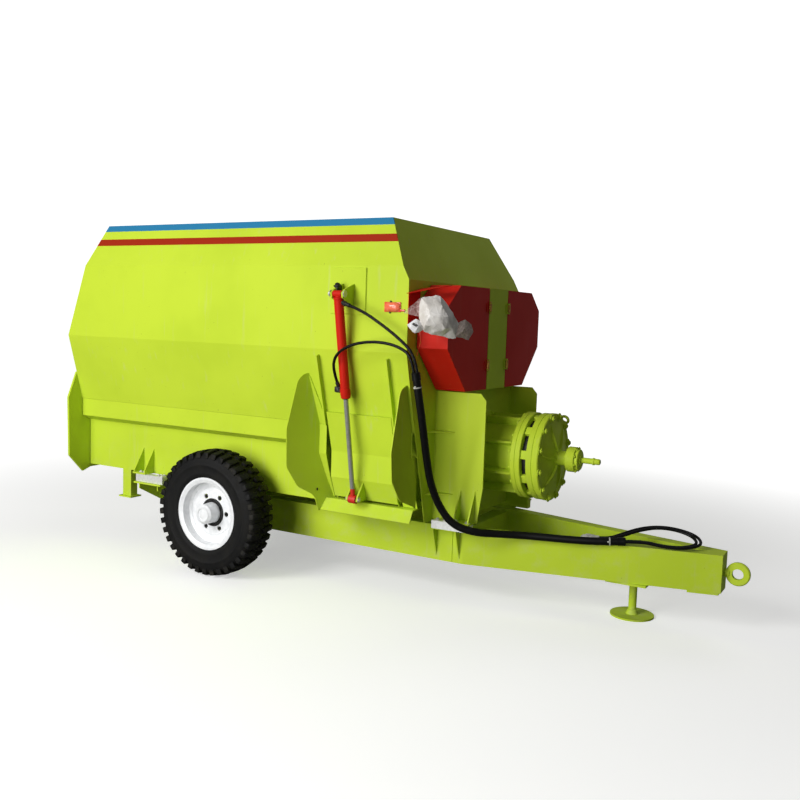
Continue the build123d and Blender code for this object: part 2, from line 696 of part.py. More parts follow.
# Drive case under the chain covers
with BuildPart() as drive_case:
    for side in (-1, 1):
        y = side * (case_y - plate / 2)
        with BuildSketch(Plane.XZ.offset(-y - plate / 2)):
            Polygon(
                (front_x, case_low_z), (case_front_x - 30, case_low_z + 10), (case_front_x, 700),
                (case_front_x, case_top_z - 40), (case_front_x - 35, case_top_z), (front_x, case_top_z),
                align=None,
            )
        extrude(amount=plate)
        # Foot above the front load cell
        with Locations((axle_x + 1590, side * (case_y + 45), 495)):
            Box(110, 90, 10)
        for x in (axle_x + 1540, axle_x + 1632):
            with BuildSketch(Plane.YZ.offset(x)):
                Polygon(
                    (side * case_y, 680), (side * (case_y + 80), 515),
                    (side * (case_y + 80), 500), (side * case_y, 500),
                    align=None,
                )
            extrude(amount=plate)
        # Gussets to the tub wall
        for z in (1010, 640):
            with BuildSketch(Plane.XY.offset(z)):
                Polygon(
                    (front_x, side * case_y), (front_x, side * (case_y + 100)),
                    (front_x + 130, side * case_y),
                    align=None,
                )
            extrude(amount=plate)
    with Locations((case_plate_x - 6, 0, (case_low_z + case_top_z) / 2)):
        Box(12, 2 * case_y - 2 * plate, case_top_z - case_low_z)
    with Locations(((front_x + case_plate_x) / 2 - 6, 0, case_low_z + 4)):
        Box(case_plate_x - front_x - 12, 2 * case_y - 2 * plate, 8)
    with BuildSketch(Plane.YZ.offset(front_x)):
        with Locations((0, shaft_z)):
            Circle(drive_bore_r)
    extrude(amount=400, mode=Mode.SUBTRACT)
drive_case.part.label = "drive_case"
export_step(drive_case.part, "parts/drive_case.step")

with BuildPart() as gearbox_housing:
    with BuildSketch(Plane.YZ.offset(gearbox_rear_x)):
        with Locations((0, shaft_z)):
            Circle(housing_r)
            Circle(drive_bore_r, mode=Mode.SUBTRACT)
    extrude(amount=gearbox_ring_x - 30 - gearbox_rear_x)
    for x, radius, depth in ((gearbox_rear_x, housing_foot_r, 20), (gearbox_ring_x - 30, ring_r, 30)):
        with BuildSketch(Plane.YZ.offset(x)):
            with Locations((0, shaft_z)):
                Circle(radius)
                Circle(drive_bore_r, mode=Mode.SUBTRACT)
        extrude(amount=depth)
    with BuildSketch(Plane.YZ.offset(gearbox_rear_x + 20)):
        with Locations((0, shaft_z)):
            with PolarLocations(222, 8, start_angle=22.5):
                Rectangle(52, 14)
    extrude(amount=gearbox_ring_x - 50 - gearbox_rear_x)
gearbox_housing.part.label = "gearbox_housing"
export_step(gearbox_housing.part, "parts/gearbox_housing.step")

with BuildPart() as gear_cage:
    with BuildSketch(Plane.YZ.offset(gearbox_ring_x)):
        with Locations((0, shaft_z)):
            Circle(cage_r)
            Circle(drive_bore_r, mode=Mode.SUBTRACT)
    extrude(amount=cage_front_x - gearbox_ring_x)
    with BuildSketch(Plane.YZ.offset(gearbox_ring_x + 25)):
        with Locations((0, shaft_z)):
            with PolarLocations(cage_r, 10):
                Rectangle(60, 90)
    extrude(amount=cage_front_x - gearbox_ring_x - 50, mode=Mode.SUBTRACT)
gear_cage.part.label = "gear_cage"
export_step(gear_cage.part, "parts/gear_cage.step")

with BuildPart() as gearbox_cover:
    with BuildSketch(Plane.YZ.offset(cage_front_x)):
        with Locations((0, shaft_z)):
            Circle(gear_cover_r)
    extrude(amount=gear_cover_t)
    with BuildSketch(Plane.YZ.offset(gearbox_face_x)):
        with Locations((0, shaft_z)):
            with PolarLocations(150, 6, start_angle=30):
                Rectangle(200, 14)
    extrude(amount=22)
    with BuildSketch(Plane.YZ.offset(gearbox_face_x)):
        with Locations((0, shaft_z)):
            Circle(boss_r)
    extrude(amount=30, taper=20)
    # Slim neck, then the bearing collar with its end flange
    for x, radius, length in (
        (gearbox_face_x, neck_r, neck_x - gearbox_face_x),
        (neck_x - collar_length, collar_r, collar_length - 34),
        (neck_x - 40, collar_r - 12, 26),
    ):
        with BuildSketch(Plane.YZ.offset(x)):
            with Locations((0, shaft_z)):
                Circle(radius)
        extrude(amount=length)
    # Lifting lug
    with BuildSketch(Plane.YZ.offset(cage_front_x + 8)):
        with Locations(Location((0, shaft_z), -45)):
            with Locations((0, gear_cover_r)):
                Rectangle(56, 60)
            with Locations((0, gear_cover_r + 10)):
                Circle(11, mode=Mode.SUBTRACT)
    extrude(amount=14)
    with BuildSketch(Plane.YZ.offset(cage_front_x)):
        with Locations((0, shaft_z)):
            Circle(shaft_r + 0.1)
    extrude(amount=400, mode=Mode.SUBTRACT)
gearbox_cover.part.label = "gearbox_cover"
export_step(gearbox_cover.part, "parts/gearbox_cover.step")

with BuildPart() as input_shaft:
    for x, radius in ((cage_front_x + 2, shaft_r - 0.3), (shaft_end_x - shaft_tip, shaft_r)):
        with BuildSketch(Plane.YZ.offset(x)):
            with Locations((0, shaft_z)):
                Circle(radius)
        extrude(amount=shaft_end_x - x)
    # Spline grooves up to the locking groove behind the round tip
    with BuildSketch(Plane.YZ.offset(neck_x + 4)):
        with Locations((0, shaft_z)):
            with PolarLocations(shaft_r, 6):
                Rectangle(6, 9)
    extrude(amount=shaft_end_x - shaft_tip - neck_x - 4, mode=Mode.SUBTRACT)
    with BuildSketch(Plane.YZ.offset(shaft_end_x - shaft_tip - 8)):
        with Locations((0, shaft_z)):
            Circle(shaft_r + 5)
            Circle(shaft_r - 4, mode=Mode.SUBTRACT)
    extrude(amount=8, mode=Mode.SUBTRACT)
input_shaft.part.label = "input_shaft"
export_step(input_shaft.part, "parts/input_shaft.step")

# Post between the covers, and the two hinged chain covers
with BuildPart() as hinge_post:
    post_width, post_depth = 2 * cover_hinge_y - 12, cover_front_x - front_x
    with Locations(((front_x + cover_front_x) / 2, 0, post_z)):
        Box(post_depth, post_width, post_height)
        Box(
            post_depth - 2 * sheet, post_width - 2 * sheet, post_height - 2 * sheet,
            mode=Mode.SUBTRACT,
        )
    with Locations((front_x, 0, post_z)):
        Box(2 * sheet + 2, post_width - 2 * sheet, post_height - 2 * sheet, mode=Mode.SUBTRACT)
    for z in hinge_zs:
        for side in (-1, 1):
            # Two ears above and below the knuckle, on a leaf, with the pin through them
            with Locations((cover_front_x + 7.5, side * (cover_hinge_y - 10), z)):
                Box(10, 30, 2 * knuckle_half + 12)
            with Locations((cover_front_x + 10, side * (cover_hinge_y - 10), z)):
                Box(20, 40, 2 * knuckle_half + 0.6, mode=Mode.SUBTRACT)
            with Locations((cover_front_x + 1.5, side * (cover_hinge_y - 22), z)):
                Box(3, 28, 2 * knuckle_half + 12)
            with Locations((cover_front_x + knuckle_r, side * cover_hinge_y, z)):
                Cylinder(hinge_pin_r, 2 * knuckle_half + 12)
hinge_post.part.label = "hinge_post"
export_step(hinge_post.part, "parts/hinge_post.step")

# Cover outline: distance from the middle, height
cover_outline = (
    (cover_hinge_y, cover_top_z), (527, cover_top_z), (671, 1753), (671, 1511),
    (425, cover_low_z), (cover_hinge_y, cover_low_z),
)
for name, side in (("right", -1), ("left", 1)):
    with BuildPart() as chain_cover:
        with BuildSketch(Plane.YZ.offset(front_x + 6)):
            Polygon(*[(side * y, z) for y, z in cover_outline], align=None)
        extrude(amount=cover_front_x - front_x - 6)
        offset(amount=-4, openings=chain_cover.faces().sort_by(Axis.X)[0])
        for z in hinge_zs:
            with Locations((cover_front_x + 1, side * (cover_hinge_y + 20), z)):
                Box(4, 40, 2 * knuckle_half)
            with Locations((cover_front_x + knuckle_r, side * cover_hinge_y, z)):
                Cylinder(knuckle_r, 2 * knuckle_half)
                Cylinder(hinge_pin_r + running_gap, 2 * knuckle_half, mode=Mode.SUBTRACT)
    chain_cover.part.label = f"chain_cover_{name}"
    export_step(chain_cover.part, f"parts/chain_cover_{name}.step")

# Augers
auger_rear_x, auger_front_x = rear_x + 30, front_x - 20
with BuildPart() as main_auger:
    with BuildSketch(Plane.YZ.offset(auger_rear_x)):
        Circle(auger_tube_r)
    extrude(amount=auger_front_x - auger_rear_x)
    with BuildSketch(Plane.YZ.offset(rear_end_x)):
        Circle(journal_r)
    extrude(amount=case_plate_x + 20 - rear_end_x)
    middle_x = (door_rear_x + door_front_x) / 2
    for start_x, end_x, hand in (
        (auger_rear_x + 20, middle_x - 40, 1),
        (middle_x + 40, auger_front_x - 10, -1),
    ):
        add(flight(auger_r, auger_tube_r, start_x, end_x, auger_pitch, hand))
        add(knives(start_x, end_x, auger_pitch, hand))
main_auger_part = main_auger.part.moved(Location((0, 0, shaft_z)))
main_auger_part.label = "main_auger"
export_step(main_auger_part, "parts/main_auger.step")

for name, side in (("right", -1), ("left", 1)):
    with BuildPart() as upper_auger:
        with BuildSketch(Plane.YZ.offset(rear_x + 100)):
            Circle(upper_tube_r)
        extrude(amount=front_x - rear_x - 140)
        with BuildSketch(Plane.YZ.offset(rear_x - 2)):
            Circle(journal_r)
        extrude(amount=front_x - rear_x + 80)
        add(flight(upper_r, upper_tube_r, rear_x + 175, front_x - 60, upper_pitch, side))
    upper_auger_part = upper_auger.part.moved(Location((0, side * upper_y, upper_z)))
    upper_auger_part.label = f"upper_auger_{name}"
    export_step(upper_auger_part, f"parts/upper_auger_{name}.step")

# Wheels
carcass_r, lug_top = tyre_r - lug_depth, (tyre_r ** 2 - (lug_width / 2) ** 2) ** 0.5
# Tyre sections: distance across from its middle, radius to a corner of the faceted ring
tyre_tread = ((-104, 298), (-97, 355), (-62, carcass_r), (62, carcass_r), (97, 355), (104, 298))
tyre_hollows = (
    ((-110, 320), (-84.5, rim_r + 2), (-70, 206)),
    ((70, 206), (84.5, rim_r + 2), (110, 320)),
    ((-80, 206), (80, 206)),
)
for name, side in (("right", -1), ("left", 1)):
    hub_plane = Plane((axle_x, side * wheel_y, axle_z), x_dir=(1, 0, 0), z_dir=(0, side, 0))
    with BuildPart() as tyre:
        for outline in tyre_tread, *tyre_hollows:
            for depth, radius in outline:
                with BuildSketch(hub_plane.offset(depth)):
                    RegularPolygon(radius, lugs_per_shoulder)
            loft(ruled=True, mode=Mode.ADD if outline is tyre_tread else Mode.SUBTRACT)
        for shoulder, first in ((1, 0), (-1, 180 / lugs_per_shoulder)):
            with BuildSketch(hub_plane.offset(shoulder * 8)):
                with PolarLocations(lug_top - (lug_depth + 12) / 2, lugs_per_shoulder, start_angle=first):
                    Rectangle(lug_depth + 12, lug_width)
            extrude(amount=shoulder * lug_length)
    tyre.part.label = f"tyre_{name}"
    export_step(tyre.part, f"parts/tyre_{name}.step")

    with BuildPart() as rim:
        with BuildSketch(Plane((axle_x, side * wheel_y, axle_z), x_dir=(0, side, 0), z_dir=(1, 0, 0))):
            with BuildLine():
                Polyline((-rim_half, rim_r), (-rim_half, rim_r - 12), (-82, 198), (-30, 196), (-22, 180),
                         (22, 180), (30, 196), (82, 198), (rim_half, rim_r - 12), (rim_half, rim_r),
                         (rim_half - 5, rim_r), (76, 204), (24, 202), (16, 186), (-16, 186), (-24, 202),
                         (-76, 204), (-rim_half + 5, rim_r), close=True)
            make_face()
            with BuildLine():
                Polyline((10, 182), (10, 150), (16, 140), (16, 40), (24, 40), (24, 144), (18, 154),
                         (18, 182), close=True)
            make_face()
            with BuildLine():
                Polyline((-120, stub_r + running_gap), (-120, 60), (0, 60), (0, 80), (16, 80), (24, 66),
                         (hub_end_y - wheel_y - 8, 62), (hub_end_y - wheel_y, 52),
                         (hub_end_y - wheel_y, 0), (hub_end_y - wheel_y - 12, 0),
                         (hub_end_y - wheel_y - 12, stub_r + running_gap), close=True)
            make_face()
        revolve(axis=Axis((axle_x, 0, axle_z), (0, 1, 0)))
        with BuildSketch(hub_plane):
            with PolarLocations(vent_circle_r, 6):
                Circle(vent_r)
        extrude(amount=40, mode=Mode.SUBTRACT)
    rim.part.label = f"rim_{name}"
    export_step(rim.part, f"parts/rim_{name}.step")

# Hood on the near chain cover, the wrapped weigh indicator under it, and the lamp on the tub
# Lumps of the wrapping: lowest height, height, outline in plan
bag_front_x = cover_front_x + 3
bag_lumps = (
    (1600, 200, ((front_x + 28, -880), (bag_front_x - 10, -865), (bag_front_x + 80, -740),
                 (bag_front_x + 80, -600), (bag_front_x, -600), (bag_front_x, -674),
                 (front_x + 28, -674))),
    (1568, 110, ((bag_front_x, -620), (bag_front_x + 60, -620), (bag_front_x + 34, -415),
                 (bag_front_x, -415))),
)
with BuildPart() as indicator_hood:
    with Locations((front_x + 15, -758, 1745)):
        Box(6, 174, 240)
    with Locations((front_x + 105, -780, 1862)):
        Box(186, 210, 6)
indicator_hood.part.label = "indicator_hood"
export_step(indicator_hood.part, "parts/indicator_hood.step")

with BuildPart() as dust_bag:
    for low_z, height, outline in bag_lumps:
        with BuildSketch(Plane.XY.offset(low_z)):
            Polygon(*outline, align=None)
        extrude(amount=height, taper=6)
    chamfer(dust_bag.edges().filter_by(Axis.X).sort_by(Axis.Z)[-1:], 10)
dust_bag.part.label = "dust_bag"
export_step(dust_bag.part, "parts/dust_bag.step")

with BuildPart() as side_lamp:
    with Locations((axle_x + 1264, -(wall_y + 12.5), 1735)):
        Box(110, 24, 60)
    fillet(side_lamp.edges().filter_by(Axis.Y), 12)
side_lamp.part.label = "side_lamp"
export_step(side_lamp.part, "parts/side_lamp.step")

# Hoses: two from the cylinder into one sleeve, and two that leave it in loops to their couplers
for name, route, radius in (
    ("hose_upper", hose_upper_route, hose_r),
    ("hose_lower", hose_lower_route, hose_r),
    ("hose_sleeve", sleeve_route, sleeve_r),
    ("hose_loop_outer", loop_outer_route, hose_r),
    ("hose_loop_inner", loop_inner_route, hose_r),
):
    tube = hose(route, radius)
    tube.label = name
    export_step(tube, f"parts/{name}.step")

for name, route in (("outer", loop_outer_route), ("inner", loop_inner_route)):
    with BuildPart() as coupler:
        end, back = Vector(*route[-1]), Vector(*route[-1]) - Vector(*route[-2])
        for start, radius, length in ((0, 12, 18), (18, 15, 30), (48, 12, 16)):
            with BuildSketch(Plane(origin=end + back.normalized() * start, z_dir=back)):
                Circle(radius)
            extrude(amount=length)
    coupler.part.label = f"hose_coupler_{name}"
    export_step(coupler.part, f"parts/hose_coupler_{name}.step")
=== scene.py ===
import bpy, bmesh
from math import atan2, cos, pi, radians, sin
from mathutils import Matrix, Vector, noise
from mathutils.geometry import delaunay_2d_cdt


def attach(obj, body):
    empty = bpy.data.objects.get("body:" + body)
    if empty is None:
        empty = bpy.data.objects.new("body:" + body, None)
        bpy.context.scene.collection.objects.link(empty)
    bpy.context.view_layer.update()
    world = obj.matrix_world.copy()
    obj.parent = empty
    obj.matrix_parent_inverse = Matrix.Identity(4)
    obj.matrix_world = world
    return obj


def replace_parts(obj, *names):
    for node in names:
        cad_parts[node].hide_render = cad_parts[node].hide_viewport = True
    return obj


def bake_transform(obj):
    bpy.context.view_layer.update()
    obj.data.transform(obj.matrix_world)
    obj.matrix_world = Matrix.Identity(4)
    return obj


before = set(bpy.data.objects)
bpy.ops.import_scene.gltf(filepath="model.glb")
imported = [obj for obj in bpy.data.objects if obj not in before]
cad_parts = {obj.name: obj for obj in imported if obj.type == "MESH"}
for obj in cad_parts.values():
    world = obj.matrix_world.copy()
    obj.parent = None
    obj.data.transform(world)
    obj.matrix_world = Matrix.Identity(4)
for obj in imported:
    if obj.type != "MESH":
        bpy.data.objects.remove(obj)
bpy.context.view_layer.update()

axleX = -0.85  # the wagon's axle, metres from the middle of its length
shaftTip = 2.253  # the input shaft's end, metres ahead of the axle
weldDistance = 0.00002  # corners closer than this become one
wheel = dict(y=0.79, z=0.4025, bolts=6, nutCircle=0.112, flangeCircle=0.077)


class Sock:
    # a socket or a number that Python operators turn into Math nodes
    def __init__(self, nodes, value):
        self.nodes, self.value = nodes, value

    def maths(self, operation, *others):
        values = [other.value if isinstance(other, Sock) else other for other in others]
        node = self.nodes.add("ShaderNodeMath", {"operation": operation}, dict(enumerate(values)))
        return Sock(self.nodes, node.outputs[0])

    def __add__(self, other): return self.maths("ADD", self, other)
    def __radd__(self, other): return self.maths("ADD", other, self)
    def __sub__(self, other): return self.maths("SUBTRACT", self, other)
    def __rsub__(self, other): return self.maths("SUBTRACT", other, self)
    def __mul__(self, other): return self.maths("MULTIPLY", self, other)
    def __gt__(self, other): return self.maths("GREATER_THAN", self, other)
    def __lt__(self, other): return self.maths("LESS_THAN", self, other)

    def smooth(self, low, high):
        node = self.nodes.add("ShaderNodeMapRange", {"interpolation_type": "SMOOTHSTEP"},
                              {"Value": self.value, "From Min": low, "From Max": high})
        return Sock(self.nodes, node.outputs[0])

    def clamp(self):
        node = self.nodes.add("ShaderNodeClamp", {}, {"Value": self.value})
        return Sock(self.nodes, node.outputs[0])


class Nodes:
    def __init__(self, name):
        self.material = bpy.data.materials.new(name)
        self.material.use_nodes = True
        self.tree = self.material.node_tree
        self.shader = self.tree.nodes["Principled BSDF"]
        self.place = self.add("ShaderNodeTexCoord", {}, {}).outputs["Object"]
        split = self.add("ShaderNodeSeparateXYZ", {}, {"Vector": self.place})
        self.x, self.y, self.z = (Sock(self, split.outputs[i]) for i in range(3))

    def add(self, kind, settings, values):
        node = self.tree.nodes.new(kind)
        for key, value in settings.items():
            setattr(node, key, value)
        for key, value in values.items():
            value = value.value if isinstance(value, Sock) else value
            if isinstance(value, bpy.types.NodeSocket):
                self.tree.links.new(value, node.inputs[key])
            else:
                node.inputs[key].default_value = value
        return node

    def noise(self, scale, detail=3, rough=0.55, vector=None):
        node = self.add("ShaderNodeTexNoise", {}, {"Vector": vector or self.place, "Scale": scale,
                                                   "Detail": detail, "Roughness": rough})
        return Sock(self, node.outputs["Fac"])

    def blend(self, mask, first, second):
        node = self.add("ShaderNodeMix", {"data_type": "RGBA"}, {"Factor": mask, 6: first, 7: second})
        return node.outputs[2]

    def set(self, **values):
        for key, value in values.items():
            key = key.replace("_", " ")
            value = value.value if isinstance(value, Sock) else value
            if isinstance(value, bpy.types.NodeSocket):
                self.tree.links.new(value, self.shader.inputs[key])
            else:
                self.shader.inputs[key].default_value = value
        return self.material

    def bump(self, height, strength, distance):
        node = self.add("ShaderNodeBump", {}, {"Height": height, "Strength": strength, "Distance": distance})
        self.tree.links.new(node.outputs[0], self.shader.inputs["Normal"])


def rgb(red, green, blue):
    # a colour as a screen shows it, 0 to 255
    channels = [value / 255 for value in (red, green, blue)]
    return (*[c / 12.92 if c < 0.04045 else ((c + 0.055) / 1.055) ** 2.4 for c in channels], 1)


paint = dict(green=rgb(196, 219, 58), shade=rgb(178, 203, 48), dust=rgb(196, 196, 160),
             blue=rgb(44, 122, 164), red=rgb(158, 42, 18), coverRed=rgb(206, 36, 22))
# heights on the tub's outside, and where its side folds in to the lip, in metres
stripes = dict(blueLow=2.204, redLow=2.104, redHigh=2.149)
tub = dict(wallY=0.775, lipY=0.65, lipZ=1.022, foldZ=1.479)
chromeLow = 0.655  # height where the cylinder rod's chrome ends, metres


def paintMaterial(name, colour, shade, striped=False, dusty=0.3, streaks=0.22, gloss=0.08):
    n = Nodes(name)
    cloud = n.noise(1.7, 3).smooth(0.35, 0.7)
    base = n.blend(cloud * 0.5, colour, shade)
    # faint runs of dust down the sheets, and splashed dirt near the ground
    run = n.add("ShaderNodeMapping", {}, {"Vector": n.place, "Scale": (9, 9, 0.7)}).outputs[0]
    marks = n.noise(3.2, 5, 0.6, run).smooth(0.58, 0.78) * streaks
    base = n.blend(marks, base, paint["dust"])
    low = (0.85 - n.z).clamp() * n.noise(11, 6, 0.65).smooth(0.46, 0.7) * dusty
    base = n.blend(low, base, paint["dust"])
    # small chips
    chips = (n.noise(85, 2, 0.5) > 0.735) * n.noise(6, 2).smooth(0.5, 0.62) * 0.55
    base = n.blend(chips, base, rgb(70, 74, 40))
    if striped:
        outward = n.add("ShaderNodeNewGeometry", {}, {}).outputs["Normal"]
        normalY = Sock(n, n.add("ShaderNodeSeparateXYZ", {}, {"Vector": outward}).outputs[1])
        outside = (normalY * n.y) > 0.0
        base = n.blend(outside * (n.z > stripes["blueLow"]), base, paint["blue"])
        base = n.blend(outside * (n.z > stripes["redLow"]) * (n.z < stripes["redHigh"]), base, paint["red"])
    ripple = n.noise(2.6, 2) * 0.012 + n.noise(210, 2) * 0.0004
    n.bump(ripple, 0.35, 1.0)
    return n.set(Base_Color=base, Roughness=0.42 + low * 0.4 + marks * 0.5 + cloud * 0.05 + chips * 0.3,
                 Specular_IOR_Level=gloss)


def tyreMaterial():
    n = Nodes("tyreRubber")
    spoke = n.add("ShaderNodeCombineXYZ", {}, {"X": (n.x - axleX).value, "Z": (n.z - wheel["z"]).value})
    length = n.add("ShaderNodeVectorMath", {"operation": "LENGTH"}, {"Vector": spoke.outputs[0]})
    radius = Sock(n, length.outputs["Value"])
    dust = n.noise(14, 6, 0.65).smooth(0.4, 0.75)
    groove = (0.4 - radius).smooth(0.0, 0.02) * (radius > 0.36)
    base = n.blend(dust * (0.1 + groove * 0.3), rgb(15, 15, 15), rgb(80, 76, 66))
    rings = n.add("ShaderNodeTexWave", {"wave_type": "BANDS", "bands_direction": "X"}, {
        "Vector": n.add("ShaderNodeCombineXYZ", {}, {"X": radius.value}).outputs[0], "Scale": 55.0})
    n.bump(Sock(n, rings.outputs["Fac"]) * (radius < 0.36) * 0.0006 + n.noise(190, 3) * 0.0006, 0.6, 1.0)
    return n.set(Base_Color=base, Roughness=0.62 + dust * 0.22, Specular_IOR_Level=0.18)


def metalMaterial(name, colour, shade, rough, metallic, grain=60, bumpHeight=0.0003):
    n = Nodes(name)
    mottled = n.noise(grain, 4).smooth(0.3, 0.75)
    base = n.blend(mottled * 0.7, colour, shade)
    n.bump(n.noise(grain * 5, 2) * bumpHeight, 0.5, 1.0)
    return n.set(Base_Color=base, Roughness=rough + mottled * 0.12, Metallic=metallic)


def rodMaterial():
    # hard chrome down to the eye, which is painted red with the barrel
    n = Nodes("rodChrome")
    drawn = n.add("ShaderNodeMapping", {}, {"Vector": n.place, "Scale": (90, 90, 2)}).outputs[0]
    lines = n.noise(4, 3, 0.5, drawn)
    eye = (chromeLow - n.z) > 0.0
    oil = n.noise(30, 3).smooth(0.5, 0.7)
    base = n.blend(oil * 0.4, rgb(150, 151, 146), rgb(112, 112, 102))
    base = n.blend(eye, base, paint["coverRed"])
    n.bump(lines * 0.0002, 0.5, 1.0)
    return n.set(Base_Color=base, Metallic=(1.0 - eye) * 0.35, Roughness=0.24 + lines * 0.1 + eye * 0.2)


def rubberMaterial(name, colour, shade, rough):
    n = Nodes(name)
    scuff = n.noise(45, 5, 0.6).smooth(0.52, 0.75)
    wrap = n.add("ShaderNodeTexWave", {"wave_type": "BANDS", "bands_direction": "DIAGONAL"}, {
        "Vector": n.place, "Scale": 70.0, "Distortion": 1.5})
    n.bump(Sock(n, wrap.outputs["Fac"]) * 0.0005 + n.noise(260, 2) * 0.0003, 0.5, 1.0)
    return n.set(Base_Color=n.blend(scuff * 0.5, colour, shade), Roughness=rough + scuff * 0.2,
                 Specular_IOR_Level=0.16)


def filmMaterial(name, colour, shade, opacity, crease=0.3):
    # crumpled plastic film: flat facets with fine bright creases
    n = Nodes(name)
    creases = n.add("ShaderNodeTexVoronoi", {"feature": "DISTANCE_TO_EDGE"},
                    {"Vector": n.place, "Scale": 24.0})
    edge = 1.0 - Sock(n, creases.outputs["Distance"]).smooth(0.0, 0.12)
    cloud = n.noise(11, 3).smooth(0.35, 0.65)
    base = n.blend((edge * crease + cloud * 0.5).clamp(), shade, colour)
    n.bump(edge * 0.0012 + n.noise(34, 3) * 0.0012, 0.5, 1.0)
    return n.set(Base_Color=base, Roughness=0.34 + edge * 0.15, Alpha=(opacity + edge * 0.2).clamp(),
                 Coat_Weight=0.12, Coat_Roughness=0.2)


print("materials")
greenPaint = paintMaterial("greenPaint", paint["green"], paint["shade"])
stripedPaint = paintMaterial("stripedPaint", paint["green"], paint["shade"], striped=True)
redPaint = paintMaterial("redPaint", paint["coverRed"], rgb(186, 28, 16), dusty=0, streaks=0.05, gloss=0.1)
augerPaint = paintMaterial("augerPaint", rgb(170, 190, 60), rgb(140, 150, 60), dusty=0)
tyreRubber = tyreMaterial()
silverPaint = metalMaterial("silverPaint", rgb(246, 247, 248), rgb(222, 224, 226), 0.42, 0.08, 30)
zincSteel = metalMaterial("zincSteel", rgb(214, 214, 204), rgb(150, 148, 136), 0.3, 0.3)
cellPlate = metalMaterial("cellPlate", rgb(232, 232, 230), rgb(206, 206, 202), 0.35, 0.3)
brass = metalMaterial("brass", rgb(206, 160, 66), rgb(150, 106, 40), 0.3, 0.4, 90)
blackSteel = metalMaterial("blackSteel", rgb(30, 30, 30), rgb(62, 60, 56), 0.35, 0.5)
# black as painted shade: the hub flange, a drum inside the gearbox, and the cheeks' drilled holes
paintedShadeBlack = metalMaterial("paintedShadeBlack", rgb(16, 16, 16), rgb(36, 34, 32), 0.5, 0.2)
rodChrome = rodMaterial()
lampRed = metalMaterial("lampRed", rgb(232, 84, 58), rgb(214, 56, 36), 0.2, 0.0, 40)
lampLens = metalMaterial("lampLens", rgb(246, 128, 92), rgb(232, 88, 60), 0.12, 0.0, 60)
hoseRubber = rubberMaterial("hoseRubber", rgb(10, 10, 10), rgb(28, 28, 26), 0.34)
sleeveRubber = rubberMaterial("sleeveRubber", rgb(8, 8, 8), rgb(24, 23, 22), 0.42)
nylon = metalMaterial("nylon", rgb(200, 200, 190), rgb(150, 150, 140), 0.4, 0.0)
bagFilm = filmMaterial("bagFilm", rgb(244, 242, 238), rgb(208, 202, 194), 1.0, 0.15)
brightFilm = filmMaterial("brightFilm", rgb(252, 252, 252), rgb(226, 226, 226), 0.95)
clearFilm = filmMaterial("clearFilm", rgb(240, 224, 220), rgb(212, 184, 180), 0.36, 0.1)
greyFilm = filmMaterial("greyFilm", rgb(228, 216, 206), rgb(190, 176, 166), 0.66, 0.1)

# painted shade: the far front load cell gets the green paint, not its bright plate colour, so that it stays
# dark in the gap where it sits
nodeMaterials = {
    "tyre": tyreRubber, "rim": silverPaint, "load_cell_front_left": greenPaint, "load_cell": cellPlate,
    "tub_side": stripedPaint, "chain_cover": redPaint, "indicator_hood": redPaint,
    "cylinder_barrel": redPaint, "cylinder_rod": rodChrome, "main_auger": augerPaint,
    "upper_auger": augerPaint, "hose_coupler": zincSteel, "hose": hoseRubber,
    "input_shaft": greenPaint, "side_lamp": lampRed, "dust_bag": bagFilm,
}
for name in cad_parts:
    found = next((value for key, value in nodeMaterials.items() if name.startswith(key)), greenPaint)
    mesh = bpy.data.objects[name].data
    mesh.materials.clear()
    mesh.materials.append(found)


def at(ahead, left, height):
    # millimetres ahead of the axle, to the left, and up, as a point in metres
    return Vector((axleX + ahead / 1000, left / 1000, height / 1000))


def facing(point, direction, turn=0):
    # local Z along the direction
    return Matrix.Translation(point) @ Vector(direction).to_track_quat("Z", "Y").to_matrix().to_4x4() @ \
        Matrix.Rotation(turn, 4, "Z")


def finishPiece(name, bm, material, body, sharp=35):
    bmesh.ops.remove_doubles(bm, verts=bm.verts, dist=weldDistance)
    bmesh.ops.recalc_face_normals(bm, faces=bm.faces)
    mesh = bpy.data.meshes.new(name)
    bm.to_mesh(mesh)
    bm.free()
    mesh.polygons.foreach_set("use_smooth", [True] * len(mesh.polygons))
    mesh.set_sharp_from_angle(angle=radians(sharp))
    mesh.materials.append(material)
    piece = bpy.data.objects.new(name, mesh)
    bpy.context.scene.collection.objects.link(piece)
    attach(piece, body)
    return piece


def edgesOf(bm, corners):
    return [edge for edge in bm.edges if edge.verts[0] in corners and edge.verts[1] in corners]


def softenEdges(bm, edges, width, segments=2):
    bmesh.ops.bevel(bm, geom=edges, offset=width, affect="EDGES", segments=segments, profile=0.5,
                    material=-1, clamp_overlap=True)


def addDisc(bm, point, direction, radius, depth, sides=24, bevelled=0.0, turn=0, tip=None):
    # a disc or hexagon that stands on the point
    place = facing(point, direction, turn) @ Matrix.Translation((0, 0, depth / 2))
    made = bmesh.ops.create_cone(bm, cap_ends=True, segments=sides, radius1=radius,
                                 radius2=radius if tip is None else tip, depth=depth, matrix=place)
    if bevelled:
        up = Vector(direction).normalized()
        top = {v for v in made["verts"] if (v.co - Vector(point)).dot(up) > depth / 2}
        softenEdges(bm, edgesOf(bm, top), bevelled, 1)


def addBolt(bm, point, direction, across, washer=True, turn=0):
    # washer, bevelled hexagon and the round top of its head, all in shares of its size
    direction = Vector(direction).normalized()
    point = Vector(point)
    if washer:
        addDisc(bm, point, direction, across * 0.98, across * 0.16, 20)
    addDisc(bm, point + direction * across * 0.14, direction, across * 0.6, across * 0.5, 6, across * 0.07,
            turn)
    addDisc(bm, point + direction * across * 0.6, direction, across * 0.3, across * 0.16, 12)


def addBead(bm, start, end, radius):
    # a weld bead along a seam
    run = Vector(end) - Vector(start)
    addDisc(bm, start, run, radius, run.length, 8)


